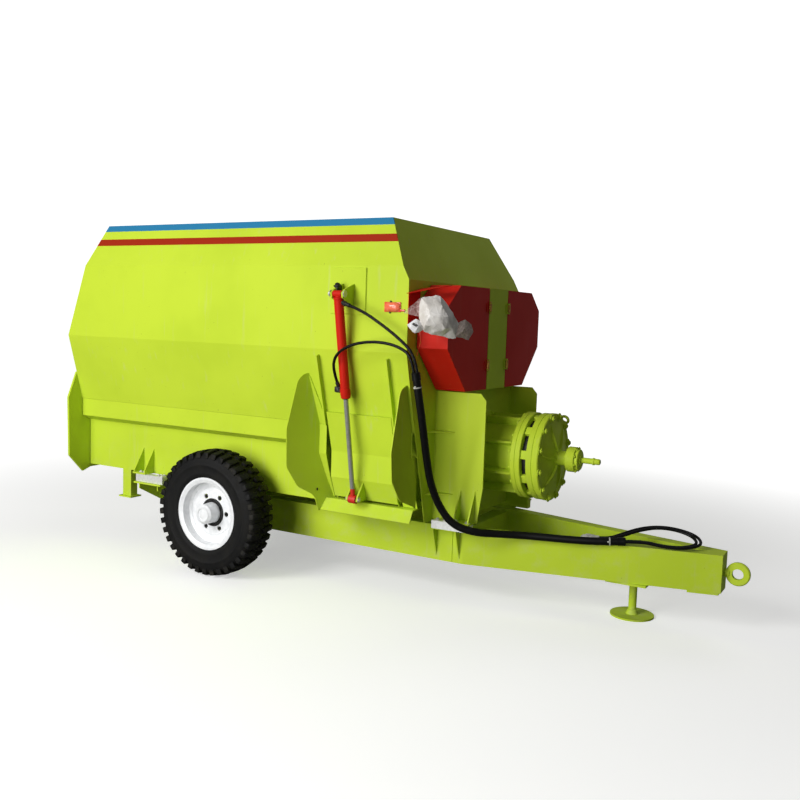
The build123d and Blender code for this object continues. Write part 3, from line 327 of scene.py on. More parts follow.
def addBlock(bm, point, size, bevelled=0.002, turned=None):
    place = Matrix.Translation(point) @ (turned or Matrix.Identity(4)) @ Matrix.Diagonal((*size, 1))
    made = bmesh.ops.create_cube(bm, size=1, matrix=place)
    softenEdges(bm, edgesOf(bm, set(made["verts"])), bevelled)


def lathe(bm, profile, centre, axis, steps=96):
    # profile: distance along the axis, radius
    axis = Vector(axis).normalized()
    out = axis.orthogonal().normalized()
    verts = [bm.verts.new(Vector(centre) + axis * along + out * radius) for along, radius in profile]
    edges = [bm.edges.new(pair) for pair in zip(verts, verts[1:])]
    bmesh.ops.spin(bm, geom=verts + edges, cent=centre, axis=axis, angle=2 * pi, steps=steps, use_merge=True)


tyre = dict(lugs=38, blockWidth=0.037, blockHeight=0.029, blockBevel=0.003, blockRadius=0.388)
# Half section of the tyre: distance from its middle, radius
tyreSection = [(0.0, 0.386), (0.06, 0.3845), (0.08, 0.375), (0.094, 0.357), (0.1025, 0.332), (0.104, 0.318),
               (0.1062, 0.315), (0.1062, 0.309), (0.104, 0.306), (0.1035, 0.288), (0.099, 0.268),
               (0.1005, 0.262), (0.0995, 0.254), (0.093, 0.24), (0.0865, 0.232), (0.078, 0.224)]


def makeTyre(name, side):
    centre = Vector((axleX, side * wheel["y"], wheel["z"]))
    bm = bmesh.new()
    half = [(-across, radius) for across, radius in reversed(tyreSection[1:])]
    lathe(bm, half + tyreSection + [(-0.078, 0.224)], centre, (0, 1, 0), 96)
    bmesh.ops.remove_doubles(bm, verts=bm.verts, dist=weldDistance)
    blocks = bmesh.new()
    for shoulder in (-1, 1):
        for index in range(tyre["lugs"]):
            angle = 2 * pi * (index + (0.5 if shoulder > 0 else 0)) / tyre["lugs"]
            # a straight block at the shoulder and a slanted one near the middle
            for across, length, width, slant in ((0.066, 0.056, 1.0, 0.0), (0.024, 0.036, 0.86, 0.42)):
                size = Matrix.Diagonal((tyre["blockWidth"] * width, length, tyre["blockHeight"], 1))
                spot = Matrix.Translation((0, shoulder * across, tyre["blockRadius"]))
                turn = Matrix.Rotation(shoulder * slant, 4, "Z")
                place = Matrix.Rotation(angle, 4, "Y") @ spot @ turn @ size
                bmesh.ops.create_cube(blocks, size=1, matrix=place)
    # the blocks' outer ends drop with the shoulder
    for vert in blocks.verts:
        if abs(vert.co.y) > 0.085:
            out = Vector((vert.co.x, 0, vert.co.z))
            drop = 0.012 if out.length > 0.39 else 0.022
            vert.co -= out.normalized() * drop
            vert.co.y += 0.004 * (1 if vert.co.y > 0 else -1)
    softenEdges(blocks, list(blocks.edges), tyre["blockBevel"], 1)
    for vert in blocks.verts:
        vert.co += centre
    mesh = bpy.data.meshes.new("blocks")
    blocks.to_mesh(mesh)
    blocks.free()
    bm.from_mesh(mesh)
    bpy.data.meshes.remove(mesh)
    return finishPiece(f"{name}Tyre", bm, tyreRubber, f"wheel_{name}", 40)


def makeWheelTrim(name, side):
    # nuts in the disc's holes, the hub flange in black as painted shade, and the hub's cap
    hub = Vector((axleX, side * wheel["y"], wheel["z"]))

    def addCircle(bm, circle, out, across, start):
        for index in range(wheel["bolts"]):
            angle = (index + start) * 2 * pi / wheel["bolts"]
            spot = hub + Vector((circle * cos(angle), side * out, circle * sin(angle)))
            addBolt(bm, spot, (0, side, 0), across, washer=False, turn=angle)

    bm = bmesh.new()
    addCircle(bm, wheel["nutCircle"], 0.012, 0.02, 0)
    finishPiece(f"{name}WheelNuts", bm, blackSteel, f"wheel_{name}")
    bm = bmesh.new()
    lathe(bm, [(0.012, 0.06), (0.02, 0.088), (0.026, 0.09), (0.03, 0.086), (0.03, 0.0665), (0.027, 0.06)],
          hub, (0, side, 0), 64)
    addCircle(bm, wheel["flangeCircle"], 0.029, 0.012, 0.5)
    finishPiece(f"{name}HubFlange", bm, paintedShadeBlack, f"wheel_{name}")
    bm = bmesh.new()
    lathe(bm, [(0.1, 0.0), (0.1175, 0.0), (0.1172, 0.02), (0.1158, 0.024), (0.1158, 0.036), (0.12, 0.038),
               (0.12, 0.046), (0.112, 0.0532)], hub, (0, side, 0), 48)
    finishPiece(f"{name}HubCap", bm, silverPaint, f"wheel_{name}")


print("wheels")
for name, side in (("right", -1), ("left", 1)):
    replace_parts(makeTyre(name, side), f"tyre_{name}")
    makeWheelTrim(name, side)

gear = dict(centre=at(0, 0, 872), ringBolts=16, footBolts=12, coverBolts=12, collarBolts=8,
            boltCircle=0.246, footCircle=0.236, collarCircle=0.069, ribs=6, ribStart=radians(30),
            bars=10, footRibs=8, eyeAngle=radians(45))


def makeGearbox():
    centre = gear["centre"]

    def around(count, radius, ahead):
        # evenly spaced spots on a circle round the shaft
        for index in range(count):
            angle = (index + 0.5) * 2 * pi / count
            yield centre + Vector((ahead, radius * sin(angle), radius * cos(angle)))

    # foot flange, body and the pair of flush rings
    bm = bmesh.new()
    lathe(bm, [(1.5, 0.06), (1.5, 0.247), (1.503, 0.25), (1.517, 0.25), (1.52, 0.247), (1.52, 0.203),
               (1.524, 0.2), (1.776, 0.2), (1.788, 0.21), (1.788, 0.259), (1.791, 0.262), (1.8155, 0.262),
               (1.817, 0.2585), (1.819, 0.2585), (1.8205, 0.262), (1.846, 0.262), (1.849, 0.259),
               (1.849, 0.06)],
          centre, (1, 0, 0), 96)
    for index in range(gear["footRibs"]):
        turn = Matrix.Rotation((index + 0.5) * 2 * pi / gear["footRibs"], 4, "X")
        addBlock(bm, centre + turn @ Vector((1.65, 0, 0.222)), (0.262, 0.014, 0.052), 0.003, turn)
    for spot in around(gear["ringBolts"], gear["boltCircle"], 1.788):
        addBolt(bm, spot, (-1, 0, 0), 0.018)
    for spot in around(gear["footBolts"], gear["footCircle"], 1.52):
        addBolt(bm, spot, (1, 0, 0), 0.018)
    housing = finishPiece("gearHousing", bm, greenPaint, "wagon")
    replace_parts(housing, "gearbox_housing")
    # bars between the window slots, and a black drum behind them as painted shade inside the housing
    bm = bmesh.new()
    for index in range(gear["bars"]):
        turn = Matrix.Rotation((index + 0.3) * 2 * pi / gear["bars"], 4, "X")
        addBlock(bm, centre + turn @ Vector((1.868, 0, 0.236)), (0.048, 0.052, 0.026), 0.004, turn)
    cage = finishPiece("gearCage", bm, greenPaint, "wagon")
    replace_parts(cage, "gear_cage")
    bm = bmesh.new()
    lathe(bm, [(1.846, 0.06), (1.846, 0.222), (1.866, 0.224), (1.89, 0.222), (1.89, 0.06)],
          centre, (1, 0, 0), 64)
    finishPiece("gearPaintedShade", bm, paintedShadeBlack, "wagon")
    # cover: ring pair, domed face, slim neck, bearing collar and its end flange
    bm = bmesh.new()
    lathe(bm, [(1.887, 0.03), (1.887, 0.259), (1.89, 0.262), (1.921, 0.262), (1.9225, 0.2585),
               (1.9245, 0.2585), (1.926, 0.262), (1.934, 0.264), (1.958, 0.264), (1.963, 0.259),
               (1.963, 0.232), (1.961, 0.226), (1.966, 0.2), (1.978, 0.13), (1.986, 0.1), (1.988, 0.07),
               (1.99, 0.0565), (2.0, 0.0445), (2.056, 0.0435), (2.058, 0.072), (2.062, 0.0755),
               (2.106, 0.0755), (2.11, 0.073), (2.111, 0.064), (2.128, 0.063), (2.131, 0.06),
               (2.132, 0.034), (2.138, 0.032), (2.138, 0.0185), (2.04, 0.0185)],
          centre, (1, 0, 0), 96)
    for index in range(gear["ribs"]):
        turn = Matrix.Rotation(gear["ribStart"] + index * 2 * pi / gear["ribs"], 4, "X")
        # each rib bends to one side and sinks into the face at its outer end
        rows = []
        for step in range(7):
            reach = step / 6
            bend, low, top = 0.034 * reach * reach, 1.985 - 0.028 * reach, 2.001 - 0.032 * reach * reach
            corners = ((low - 0.01, -0.009), (top, -0.004), (top, 0.004), (low - 0.01, 0.009))
            rows.append([bm.verts.new(centre + turn @ Vector((x, bend + y, 0.05 + 0.155 * reach)))
                         for x, y in corners])
        for first, second in zip(rows, rows[1:]):
            for k in range(4):
                bm.faces.new((first[k], first[(k + 1) % 4], second[(k + 1) % 4], second[k]))
        bm.faces.new(rows[0])
        bm.faces.new(rows[-1])
    for spot in around(gear["coverBolts"], gear["boltCircle"], 1.963):
        addBolt(bm, spot, (1, 0, 0), 0.026)
    for spot in around(gear["collarBolts"], gear["collarCircle"], 2.111):
        addBolt(bm, spot, (1, 0, 0), 0.012)
    # lifting ring screwed into the cover's rim, turned to the side
    spoke = Vector((0, sin(gear["eyeAngle"]), cos(gear["eyeAngle"])))
    eye, through = centre + Vector((1.948, 0, 0)) + spoke * 0.296, Vector((-0.632, 0.547, -0.547))
    ring = bmesh.ops.create_circle(bm, cap_ends=False, segments=12, radius=0.009,
                                   matrix=facing(eye + spoke * 0.023, spoke.cross(through)))
    bmesh.ops.spin(bm, geom=ring["verts"] + list({e for v in ring["verts"] for e in v.link_edges}),
                   cent=eye, axis=through, angle=2 * pi, steps=28, use_merge=True)
    addDisc(bm, eye - spoke * 0.036, spoke, 0.018, 0.018, 16, 0.003)
    cover = finishPiece("gearCover", bm, greenPaint, "wagon")
    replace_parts(cover, "gearbox_cover")
    # stepped shaft with a ring before its rounded tip
    bm = bmesh.new()
    lathe(bm, [(1.94, 0.0), (1.94, 0.0172), (2.138, 0.0172), (2.138, 0.0175), (2.205, 0.0175),
               (2.207, 0.0215), (2.217, 0.0215), (2.219, 0.0185), (2.223, 0.018), (shaftTip - 0.008, 0.018),
               (shaftTip - 0.002, 0.0145), (shaftTip, 0.01), (shaftTip, 0.0)], centre, (1, 0, 0), 48)
    shaft = finishPiece("shaftEnd", bm, greenPaint, "input_shaft")
    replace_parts(shaft, "input_shaft")


print("gearbox")
makeGearbox()

cylinder = dict(x=0.118, topY=-0.885, topZ=1.8, eyeY=-0.668, eyeZ=0.59, barrelEnd=0.6)


def makeCylinderTrim():
    top = Vector((cylinder["x"], cylinder["topY"], cylinder["topZ"]))
    along = (Vector((cylinder["x"], cylinder["eyeY"], cylinder["eyeZ"])) - top).normalized()
    # gland at the barrel's end, and the welded rings
    bm = bmesh.new()
    end = top + along * cylinder["barrelEnd"]
    lathe(bm, [(-0.05, 0.0277), (-0.048, 0.0305), (-0.012, 0.0305), (-0.01, 0.0285), (0.004, 0.0285),
               (0.006, 0.026), (0.0062, 0.0158)], end, along, 40)
    lathe(bm, [(0.018, 0.02), (0.02, 0.0285), (0.03, 0.0295), (0.034, 0.0275)], top, along, 40)
    finishPiece("barrelRings", bm, redPaint, "cylinder_barrel")
    bm = bmesh.new()
    lathe(bm, [(0.0055, 0.0148), (0.0055, 0.0235), (0.0105, 0.022), (0.0105, 0.0148)], end, along, 32)
    for hose in hoses["upper"]["route"][:2], hoses["lower"]["route"][:2]:
        start, ahead = (Vector(point) for point in hose)
        way = (ahead - start).normalized()
        addDisc(bm, start - way * 0.012, way, 0.0152, 0.017, 6, 0.002)
        addDisc(bm, start + way * 0.003, way, 0.0118, 0.034, 20, 0.002)
        addDisc(bm, start - way * 0.027, way, 0.0125, 0.016, 20)
    low = at(1000 * (cylinder["x"] - axleX) - 60, -785.5, 1245)
    addDisc(bm, low, (1, 0, 0), 0.0145, 0.03, 6, 0.002)
    addBlock(bm, low + Vector((0.006, 0, 0.006)), (0.03, 0.028, 0.034), 0.006)
    finishPiece("barrelFittings", bm, blackSteel, "cylinder_barrel")
    # pin with its washer and head, and the bolt over it
    bm = bmesh.new()
    addDisc(bm, top - Vector((0.046, 0, 0)), (-1, 0, 0), 0.021, 0.004, 28)
    addDisc(bm, top - Vector((0.05, 0, 0)), (-1, 0, 0), 0.0135, 0.014, 20, 0.003)
    addDisc(bm, top + Vector((0.044, 0, 0)), (1, 0, 0), 0.02, 0.004, 28)
    finishPiece("topPin", bm, zincSteel, "wagon")
    bm = bmesh.new()
    addBolt(bm, top + Vector((-0.036, 0.045, 0.046)), (0, -0.35, 1), 0.024)
    addBlock(bm, top + Vector((-0.037, 0.055, 0.034)), (0.02, 0.05, 0.03), 0.003)
    finishPiece("topBolt", bm, blackSteel, "wagon")
    bm = bmesh.new()
    eye = Vector((cylinder["x"], cylinder["eyeY"], cylinder["eyeZ"]))
    for way in (-1, 1):
        addDisc(bm, eye + Vector((way * 0.0405, 0, 0)), (way, 0, 0), 0.017, 0.003, 24)
        addDisc(bm, eye + Vector((way * 0.043, 0, 0)), (way, 0, 0), 0.0105, 0.006, 20, 0.002)
    finishPiece("eyePin", bm, zincSteel, "discharge_door")


hoses = {
    "upper": dict(radius=0.0085, length=0.637, route=[
        (1013, -879, 1745), (1130, -893, 1712), (1262, -896, 1640), (1385, -898, 1563),
        (1483.87, -898.98, 1479.57), (1494.43, -885.17, 1386.17)]),
    "lower": dict(radius=0.0085, length=0.842, route=[
        (925, -787, 1262), (914, -836, 1358), (957, -890, 1448), (1045, -898, 1508), (1160, -899, 1537),
        (1280, -899, 1540), (1385, -899, 1519), (1463.56, -897.91, 1472.35), (1473.56, -884.83, 1383.87)]),
    "sleeve": dict(radius=0.022, length=1.957, route=[
        (1484, -885, 1385), (1497, -868, 1270), (1500, -820, 1120), (1490, -745, 930), (1482, -665, 750),
        (1505, -590, 605), (1575, -548, 500), (1690, -500, 464), (1800, -412, 455), (1925, -338, 452),
        (2070, -303, 453), (2225, -268, 455), (2360, -234, 462), (2480, -189, 471)]),
    "loop_inner": dict(radius=0.0085, length=1.065, route=[
        (2476.33, -179.16, 471), (2565.06, -145.89, 477.66), (2670, -121, 461), (2765, -96, 461),
        (2840, -28, 476), (2797, 48, 501), (2700, 48, 525), (2600, 12, 531), (2512, -48, 512),
        (2436, -122, 482), (2364, -181, 463), (2290, -198, 463)]),
    "loop_outer": dict(radius=0.0085, length=1.123, route=[
        (2483.71, -198.82, 471), (2577.11, -163.8, 478.01), (2680, -141, 461), (2785, -113, 462),
        (2866, -32, 478), (2815, 68, 504), (2702, 68, 528), (2594, 31, 534), (2500, -26, 517),
        (2424, -98, 486), (2364, -148, 463), (2290, -165, 463)]),
}
hoses["lead"] = dict(radius=0.0016, length=0.225, route=[
    (1501, -884, 1606), (1508, -884, 1572), (1490, -850, 1546), (1463, -818, 1520), (1414, -747, 1470)])
for hose in hoses.values():
    hose["route"] = [tuple(at(*point)) for point in hose["route"]]


def makeHose(name, hose, material):
    curve = bpy.data.curves.new(name, "CURVE")
    curve.dimensions = "3D"
    curve.resolution_u = 10
    spline = curve.splines.new("NURBS")
    spline.points.add(len(hose["route"]) - 1)
    for point, place in zip(spline.points, hose["route"]):
        point.co = (*place, 1)
    spline.order_u = 3
    spline.use_endpoint_u = True
    piece = bpy.data.objects.new(name, curve)
    bpy.context.scene.collection.objects.link(piece)
    bpy.context.view_layer.update()
    # the line itself, read before it gets its thickness
    line = piece.evaluated_get(bpy.context.evaluated_depsgraph_get()).to_mesh()
    hose["line"] = [vert.co.copy() for vert in line.vertices]
    curve.bevel_depth, curve.bevel_resolution, curve.use_fill_caps = hose["radius"], 5, True
    curve.materials.append(material)
    return piece


def meshOf(piece):
    # the same piece as a mesh, for a hose that runs between two bodies
    bpy.context.view_layer.update()
    mesh = bpy.data.meshes.new_from_object(piece.evaluated_get(bpy.context.evaluated_depsgraph_get()))
    solid = bpy.data.objects.new(piece.name + "Tube", mesh)
    bpy.context.scene.collection.objects.link(solid)
    bpy.data.objects.remove(piece)
    return solid


def makeHoses():
    for name in ("upper", "lower"):
        hose = hoses[name]
        tube = meshOf(makeHose(f"{name}Hose", hose, hoseRubber))
        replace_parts(tube, f"hose_{name}")
        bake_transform(tube)
    sleeve = makeHose("sleeve", hoses["sleeve"], sleeveRubber)
    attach(sleeve, "wagon")
    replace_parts(sleeve, "hose_sleeve")
    # a nylon tie near each end of the sleeve, and the end collars
    bm = bmesh.new()
    line = hoses["sleeve"]["line"]
    for share in (0.035, 0.97):
        index = int(share * (len(line) - 1))
        way = (line[index + 1] - line[index]).normalized()
        lathe(bm, [(-0.0035, 0.022), (-0.0035, 0.0236), (0.0035, 0.0236), (0.0035, 0.022)],
              line[index], way, 32)
        addBlock(bm, line[index] + Vector((0, -0.0245, 0.003)), (0.009, 0.008, 0.008), 0.0015)
    ties = finishPiece("sleeveTies", bm, nylon, "wagon")
    bm = bmesh.new()
    for index, way in ((0, line[0] - line[1]), (-1, line[-1] - line[-2])):
        way = way.normalized()
        lathe(bm, [(-0.045, 0.0222), (-0.043, 0.0245), (-0.003, 0.0245), (0.0, 0.0215), (0.0, 0.0)],
              line[index], way, 32)
    collars = finishPiece("sleeveCollars", bm, hoseRubber, "wagon")
    for name, side in (("inner", 1), ("outer", -1)):
        hose = hoses[f"loop_{name}"]
        loop = makeHose(f"{name}Loop", hose, hoseRubber)
        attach(loop, "wagon")
        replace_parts(loop, f"hose_loop_{name}")
        end, way = hose["line"][-1], (hose["line"][-1] - hose["line"][-2]).normalized()
        bm = bmesh.new()
        lathe(bm, [(-0.03, 0.0088), (-0.028, 0.0118), (0.0, 0.0122), (0.001, 0.0146), (0.004, 0.0152),
                   (0.018, 0.0152), (0.0185, 0.0168), (0.026, 0.0172), (0.042, 0.0172), (0.048, 0.0158),
                   (0.049, 0.0124), (0.062, 0.0122), (0.064, 0.0105), (0.064, 0.0)], end, way, 32)
        coupler = finishPiece(f"{name}Coupler", bm, zincSteel, "wagon")
        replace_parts(coupler, f"hose_coupler_{name}")


print("hoses")
makeHoses()
makeCylinderTrim()


hinge = dict(axisX=1.5705, axisY=0.141, heights=(1.756, 1.409), half=0.0236, radius=0.0092)
lamp = dict(x=1.264, y=-0.7755, z=1.735, length=0.098, height=0.052, depth=0.02)


def makeCoverTrim():
    # brass knuckles on the two covers, with their pin heads
    for name, side in (("right", -1), ("left", 1)):
        bm = bmesh.new()
        for height in hinge["heights"]:
            foot = at(1000 * hinge["axisX"], side * 1000 * hinge["axisY"], 1000 * (height - hinge["half"]))
            length, radius = 2 * hinge["half"], hinge["radius"]
            lathe(bm, [(0.0, 0.0042), (0.0, radius - 0.001), (0.001, radius), (length - 0.001, radius),
                       (length, radius - 0.001), (length, 0.0042)], foot, (0, 0, 1), 24)
        finishPiece(f"{name}Knuckles", bm, brass, f"chain_cover_{name}")
        bm = bmesh.new()
        for height in hinge["heights"]:
            for end in (-1, 1):
                spot = at(1000 * hinge["axisX"], side * 1000 * hinge["axisY"], 1000 * (height + end * 0.0305))
                addDisc(bm, spot, (0, 0, end), 0.0072, 0.005, 20, 0.002)
        finishPiece(f"{name}PinHeads", bm, brass, "wagon")


def makeSideLamp():
    bm = bmesh.new()
    centre = at(1000 * lamp["x"], 1000 * lamp["y"], 1000 * lamp["z"])
    # base plate with its lug
    plate = (lamp["length"] + 0.008, 0.006, lamp["height"] + 0.004)
    addBlock(bm, centre - Vector((0, 0.003, 0)), plate, 0.0025)
    addBlock(bm, centre + Vector((0.06, -0.004, -0.018)), (0.04, 0.006, 0.012), 0.002)
    base = finishPiece("lampBase", bm, lampRed, "wagon")
    bm = bmesh.new()
    size = Matrix.Diagonal((lamp["length"] / 2, lamp["depth"], lamp["height"] / 2, 1))
    made = bmesh.ops.create_uvsphere(bm, u_segments=36, v_segments=18, radius=1,
                                     matrix=Matrix.Translation(centre - Vector((0, 0.006, 0))) @ size)
    for vert in made["verts"]:
        # squarer outline, and upright flutes in the lens
        offset = vert.co - centre
        squash = 1 + 0.16 * abs(sin(2 * atan2(offset.z / lamp["height"], offset.x / lamp["length"])))
        vert.co.x, vert.co.z = centre.x + offset.x * squash, centre.z + offset.z * squash
        vert.co.y -= 0.0012 * cos(offset.x * 420)
    bmesh.ops.bisect_plane(bm, geom=list(bm.verts) + list(bm.edges) + list(bm.faces), clear_outer=True,
                           plane_co=centre - Vector((0, 0.004, 0)), plane_no=(0, 1, 0))
    finishPiece("lampLens", bm, lampLens, "wagon", 60)
    bm = bmesh.new()
    for x, z in ((-0.012, 0.031), (-0.016, -0.031)):
        addDisc(bm, centre + Vector((x, -0.002, z)), (0, -1, 0), 0.005, 0.006, 12, 0.001)
    finishPiece("lampScrews", bm, blackSteel, "wagon")
    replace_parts(base, "side_lamp")


bag = dict(normal=(0.66, -0.751, 0), cuts=4, crease=0.004, fold=0.007)
# Outlines and raised folds of the film, in millimetres: along it, up, and towards the camera
film = {
    "bagFilm": dict(centre=at(1550, -770, 0), depth=0.055, outline=[
        (-101, 1789), (-63, 1799), (-17, 1806), (7, 1802), (46, 1765), (91, 1702), (119, 1652), (105, 1573),
        (85, 1567), (26, 1581), (-47, 1592), (-79, 1601), (-96, 1637), (-110, 1686), (-110, 1743)],
        folds=[(-72, 1748, 45), (-61, 1696, 70), (-45, 1639, 55), (-16, 1681, 85), (5, 1747, 60),
               (38, 1691, 70), (26, 1625, 60), (74, 1626, 40), (-17, 1603, 35), (-88, 1695, 50),
               (-84, 1638, 45), (-26, 1779, 25)]),
    "bagLobe": dict(centre=at(1467, -843, 0), depth=0.02, outline=[
        (-63, 1641), (-37, 1663), (-14, 1677), (14, 1663), (33, 1650), (39, 1619), (16, 1602), (-19, 1594),
        (-47, 1617)], folds=[(-32, 1644, 22), (-1, 1637, 34), (-12, 1613, 20)]),
    "bagEar": dict(centre=at(1633, -697, 0), depth=0.012, faces=(0.97, -0.243, 0), outline=[
        (-15, 1654), (25, 1670), (63, 1682), (117, 1654), (139, 1612), (97, 1564), (48, 1573), (-18, 1581)],
        folds=[(35, 1634, 24), (23, 1606, 16), (77, 1607, 12)]),
    "bagCorner": dict(centre=at(1440, -850, 0), depth=0.0, outline=[(-57, 1703), (37, 1789), (28, 1686)],
                      folds=[(0, 1726, 8), (14, 1742, -5)]),
}


def crumple(point, scale):
    # ridges where the cells of the pattern meet, as film creases
    distances = noise.voronoi(point * scale)[0]
    return min(distances[1] - distances[0], 0.5)


def makeFilm(name, material):
    # flat facets between the folds, front and back, then fine creases
    part = film[name]
    out = Vector(part.get("faces", bag["normal"]))
    along = Vector((-out.y, out.x, 0))
    flat = [(*point, 0) for point in part["outline"]] + part["folds"]
    edges = [(i, (i + 1) % len(part["outline"])) for i in range(len(part["outline"]))]
    spots, _, faces, *_ = delaunay_2d_cdt([Vector(point[:2]) for point in flat], edges, [], 1, 0.001)
    bm = bmesh.new()
    for side in (1, -1) if part["depth"] else (1,):
        made = []
        for spot in spots:
            raised = next((p[2] for p in flat if (Vector(p[:2]) - spot).length < 1), 0) / 1000
            raised = raised if side > 0 else -part["depth"] * min(raised / 0.05, 1)
            made.append(bm.verts.new(part["centre"] + along * (spot.x / 1000) + out * raised +
                                     Vector((0, 0, spot.y / 1000))))
        for face in faces:
            bm.faces.new([made[i] for i in face])
    bmesh.ops.remove_doubles(bm, verts=bm.verts, dist=0.0001)
    bmesh.ops.recalc_face_normals(bm, faces=bm.faces)
    bmesh.ops.subdivide_edges(bm, edges=list(bm.edges), cuts=bag["cuts"], use_grid_fill=True)
    bmesh.ops.triangulate(bm, faces=list(bm.faces))
    bm.normal_update()
    for vert in bm.verts:
        sunk = bag["fold"] * crumple(vert.co, 15) + bag["crease"] * crumple(vert.co, 46)
        vert.co -= vert.normal * sunk
    return finishPiece(name, bm, material, "chain_cover_right", 24)


def makeBag():
    main = makeFilm("bagFilm", bagFilm)
    makeFilm("bagEar", greyFilm)
    makeFilm("bagLobe", brightFilm)
    corner = makeFilm("bagCorner", clearFilm)
    bm = bmesh.new()
    addBlock(bm, at(1466, -880, 1642), (0.026, 0.01, 0.012), 0.002, Matrix.Rotation(radians(24), 4, "Y"))
    finishPiece("bagSlot", bm, blackSteel, "chain_cover_right")
    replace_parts(main, "dust_bag")
    # thin red lead that hangs out of the bag
    lead = makeHose("bagLead", hoses["lead"], lampRed)
    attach(lead, "chain_cover_right")


hood = dict(sheet=0.004,
            flange=[(1377, -803, 1633), (1377, -671, 1633), (1377, -671, 1836), (1377, -803, 1809)],
            roof=[(1365, -803, 1809), (1562, -678, 1858), (1562, -640, 1862), (1365, -640, 1842)])


def makeHood():
    # folded sheet over the bag: an upright flange and a roof that rises to the front
    bm = bmesh.new()
    for corners in (hood["flange"], hood["roof"]):
        face = bm.faces.new([bm.verts.new(at(*point)) for point in corners])
        face.normal_update()
        out = face.normal.copy()
        grown = bmesh.ops.extrude_face_region(bm, geom=[face])
        ends = [v for v in grown["geom"] if isinstance(v, bmesh.types.BMVert)]
        bmesh.ops.translate(bm, verts=ends, vec=out * hood["sheet"])
        sheet = set(ends) | {e.other_vert(v) for v in ends for e in v.link_edges}
        softenEdges(bm, edgesOf(bm, sheet), 0.0012, 1)
    piece = finishPiece("hoodSheet", bm, redPaint, "chain_cover_right")
    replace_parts(piece, "indicator_hood")


seam = dict(beam=391, towbar=67 + 0.2 * 72 - 6, clampPlate=-777)  # sides of the frame, in millimetres


def leaning(ahead, height, proud=0):
    # a spot on the part of the tub's right side that leans in to the lip, in millimetres
    share = (tub["foldZ"] - height / 1000) / (tub["foldZ"] - tub["lipZ"])
    return at(ahead, -1000 * (tub["wallY"] - share * (tub["wallY"] - tub["lipY"])) - proud, height)


def makeSmallSteel():
    # weld beads on the wagon's visible seams
    bm = bmesh.new()
    seams = []
    for ahead in (754, 766, 1234, 1246):
        seams.append((leaning(ahead, 1030), leaning(ahead, 1420)))
    seams.append((at(1348, -656, 1022), at(1348, -656, 880)))
    seams.append((leaning(1340, 1030, 3), leaning(1340, 1280, 3)))
    for side in (-1, 1):
        seams.append((at(1363, side * 397, 500), at(1363, side * 397, 1250)))
        beam, towbar = side * seam["beam"], side * seam["towbar"]
        for ahead, low, high in ((1500, 236, 432), (1390, 265, 432), (1549, 265, 432),
                                 (-802, 292, 468), (-630, 292, 468)):
            seams.append((at(ahead, beam, low), at(ahead, beam, high)))
        seams.append((at(-835, beam, 475), at(-590, beam, 475)))
        seams.append((at(2910, towbar, 236), at(2910, towbar, 444)))
    for start, end in seams:
        addBead(bm, start, end, 0.0035)
    # round the plate that carries the cylinder
    for first, second in (((845, 1690), (845, 1950)), ((1085, 1690), (1085, 1950)),
                          ((845, 1690), (1085, 1690)), ((845, 1950), (1085, 1950))):
        addBead(bm, at(first[0], seam["clampPlate"], first[1]),
                at(second[0], seam["clampPlate"], second[1]), 0.003)
    finishPiece("weldBeads", bm, greenPaint, "wagon")
    # bolts through the load cells' brackets
    bm = bmesh.new()
    for side in (-1, 1):
        for ahead in (1425, 1475):
            addBolt(bm, at(ahead, side * 445, 490), (0, 0, 1), 0.018)
        for ahead in (-812, -780, -640, -612):
            addBolt(bm, at(ahead, side * 645, 538 if ahead > -760 else 548), (0, 0, 1), 0.016)
        for ahead in (1552, 1628):
            addBolt(bm, at(ahead, side * 462, 500), (0, 0, 1), 0.018)
    finishPiece("cellBolts", bm, zincSteel, "wagon")
    # the cheeks' drilled holes, as thin black discs: painted shade for their dark insides
    bm = bmesh.new()
    addDisc(bm, at(1346.5, -517, 610), (1, 0, 0), 0.009, 0.0012, 20)
    addDisc(bm, at(702.5, -663, 618), (1, 0, 0), 0.009, 0.0012, 20)
    finishPiece("cheekHoleShade", bm, paintedShadeBlack, "wagon")


print("covers, lamp, bag and welds")
makeCoverTrim()
makeSideLamp()
makeBag()
makeHood()
makeSmallSteel()


lights = dict(sky=0.12, mirrored=0.12, key=395, fill=360, back=100)


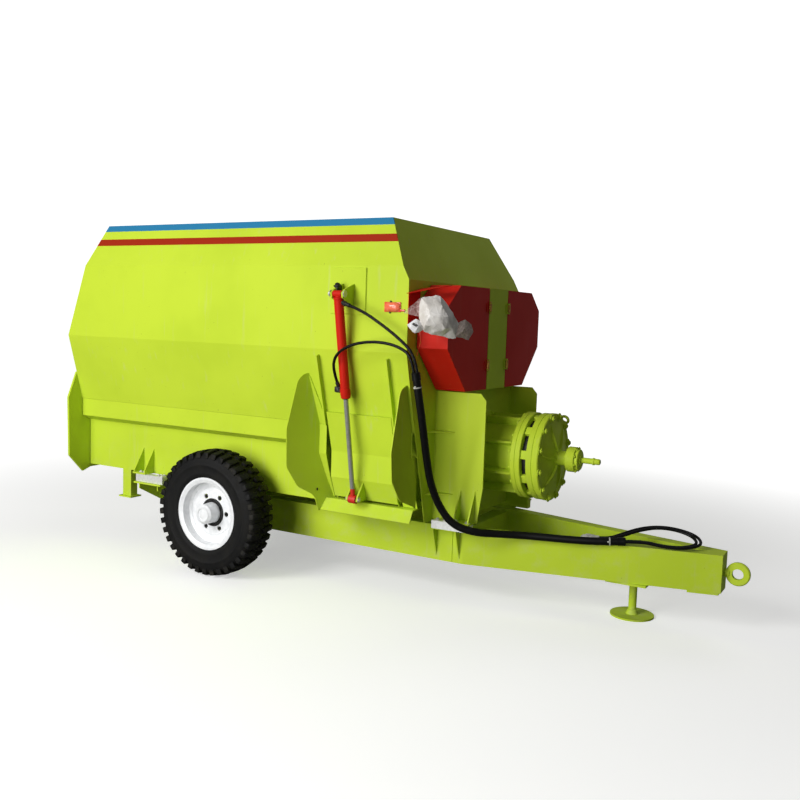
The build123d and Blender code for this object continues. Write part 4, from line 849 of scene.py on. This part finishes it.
def stageScene():
    bm = bmesh.new()
    bmesh.ops.create_grid(bm, x_segments=1, y_segments=1, size=60)
    mesh = bpy.data.meshes.new("floor")
    bm.to_mesh(mesh)
    bm.free()
    floor = bpy.data.objects.new("floor", mesh)
    bpy.context.scene.collection.objects.link(floor)
    # white to the camera, a middling grey to the light that it sends back up; the shadow stays
    n = Nodes("floorWhite")
    path = n.add("ShaderNodeLightPath", {}, {})
    rays = [Sock(n, path.outputs[f"Is {kind} Ray"]) for kind in ("Camera", "Transmission", "Glossy")]
    seen = (rays[0] + rays[1] + rays[2] * lights["mirrored"]).clamp()
    away = n.add("ShaderNodeVectorMath", {"operation": "LENGTH"}, {"Vector": n.place})
    glow = Sock(n, away.outputs["Value"]).smooth(2.5, 8.0) * 0.5 + 0.45
    n.set(Base_Color=n.blend(seen, rgb(128, 128, 124), rgb(236, 236, 234)), Roughness=0.8,
          Specular_IOR_Level=0.0, Emission_Color=n.blend(seen * glow, (0, 0, 0, 1), (1, 1, 1, 1)),
          Emission_Strength=1.0)
    mesh.materials.append(n.material)
    world = bpy.data.worlds.new("world")
    bpy.context.scene.world = world
    world.use_nodes = True
    tree = world.node_tree
    back = tree.nodes["Background"]
    back.inputs["Color"].default_value = (1, 1, 1, 1)
    path = tree.nodes.new("ShaderNodeLightPath")
    last = None
    for kind, share in (("Camera", 1.0), ("Transmission", 1.0), ("Glossy", lights["mirrored"])):
        # strength = sky + share * (is this kind of ray)
        added = tree.nodes.new("ShaderNodeMath")
        added.operation = "MULTIPLY_ADD"
        tree.links.new(path.outputs[f"Is {kind} Ray"], added.inputs[0])
        added.inputs[1].default_value, added.inputs[2].default_value = share, lights["sky"]
        if last:
            tree.links.new(last, added.inputs[2])
        last = added.outputs[0]
    tree.links.new(last, back.inputs["Strength"])


def addLamp(name, place, target, size, power, mirrored=True):
    light = bpy.data.lights.new(name, "AREA")
    light.size, light.energy = size, power
    lamp = bpy.data.objects.new(name, light)
    lamp.location = place
    lamp.visible_glossy = mirrored
    lamp.rotation_euler = (Vector(target) - Vector(place)).to_track_quat("-Z", "Y").to_euler()
    bpy.context.scene.collection.objects.link(lamp)


# degrees as measured from the wagon's level edges, millimetres of lens, metres
view = dict(yaw=30.0538, pitch=5.1581, roll=-1.9239, lens=40.394, place=(3.8366 + axleX, -5.1074, 1.6701))


def addCamera():
    yaw, pitch, roll = (radians(view[angle]) for angle in ("yaw", "pitch", "roll"))
    ahead = Vector((-sin(yaw) * cos(pitch), cos(yaw) * cos(pitch), -sin(pitch)))
    right = Vector((cos(yaw), sin(yaw), 0))
    down = ahead.cross(right)
    across = cos(roll) * right + sin(roll) * down
    below = -sin(roll) * right + cos(roll) * down
    data = bpy.data.cameras.new("camera")
    data.sensor_width, data.lens = 36, view["lens"]
    camera = bpy.data.objects.new("camera", data)
    turn = Matrix((across, -below, -ahead)).transposed().to_4x4()
    camera.matrix_world = Matrix.Translation(view["place"]) @ turn
    bpy.context.scene.collection.objects.link(camera)
    bpy.context.scene.camera = camera


print("stage, lamps and camera")
stageScene()
addLamp("key", (-2.6, -7.4, 4.6), (0, -0.6, 1.1), 3.5, lights["key"])
addLamp("fill", (-0.6, -8.2, 0.9), (0.8, -0.4, 0.4), 3.5, lights["fill"])
addLamp("back", (1.5, 7.0, 5.5), (0, 0, 1), 4.0, lights["back"], mirrored=False)
addCamera()
bpy.context.scene.view_settings.view_transform = "Standard"
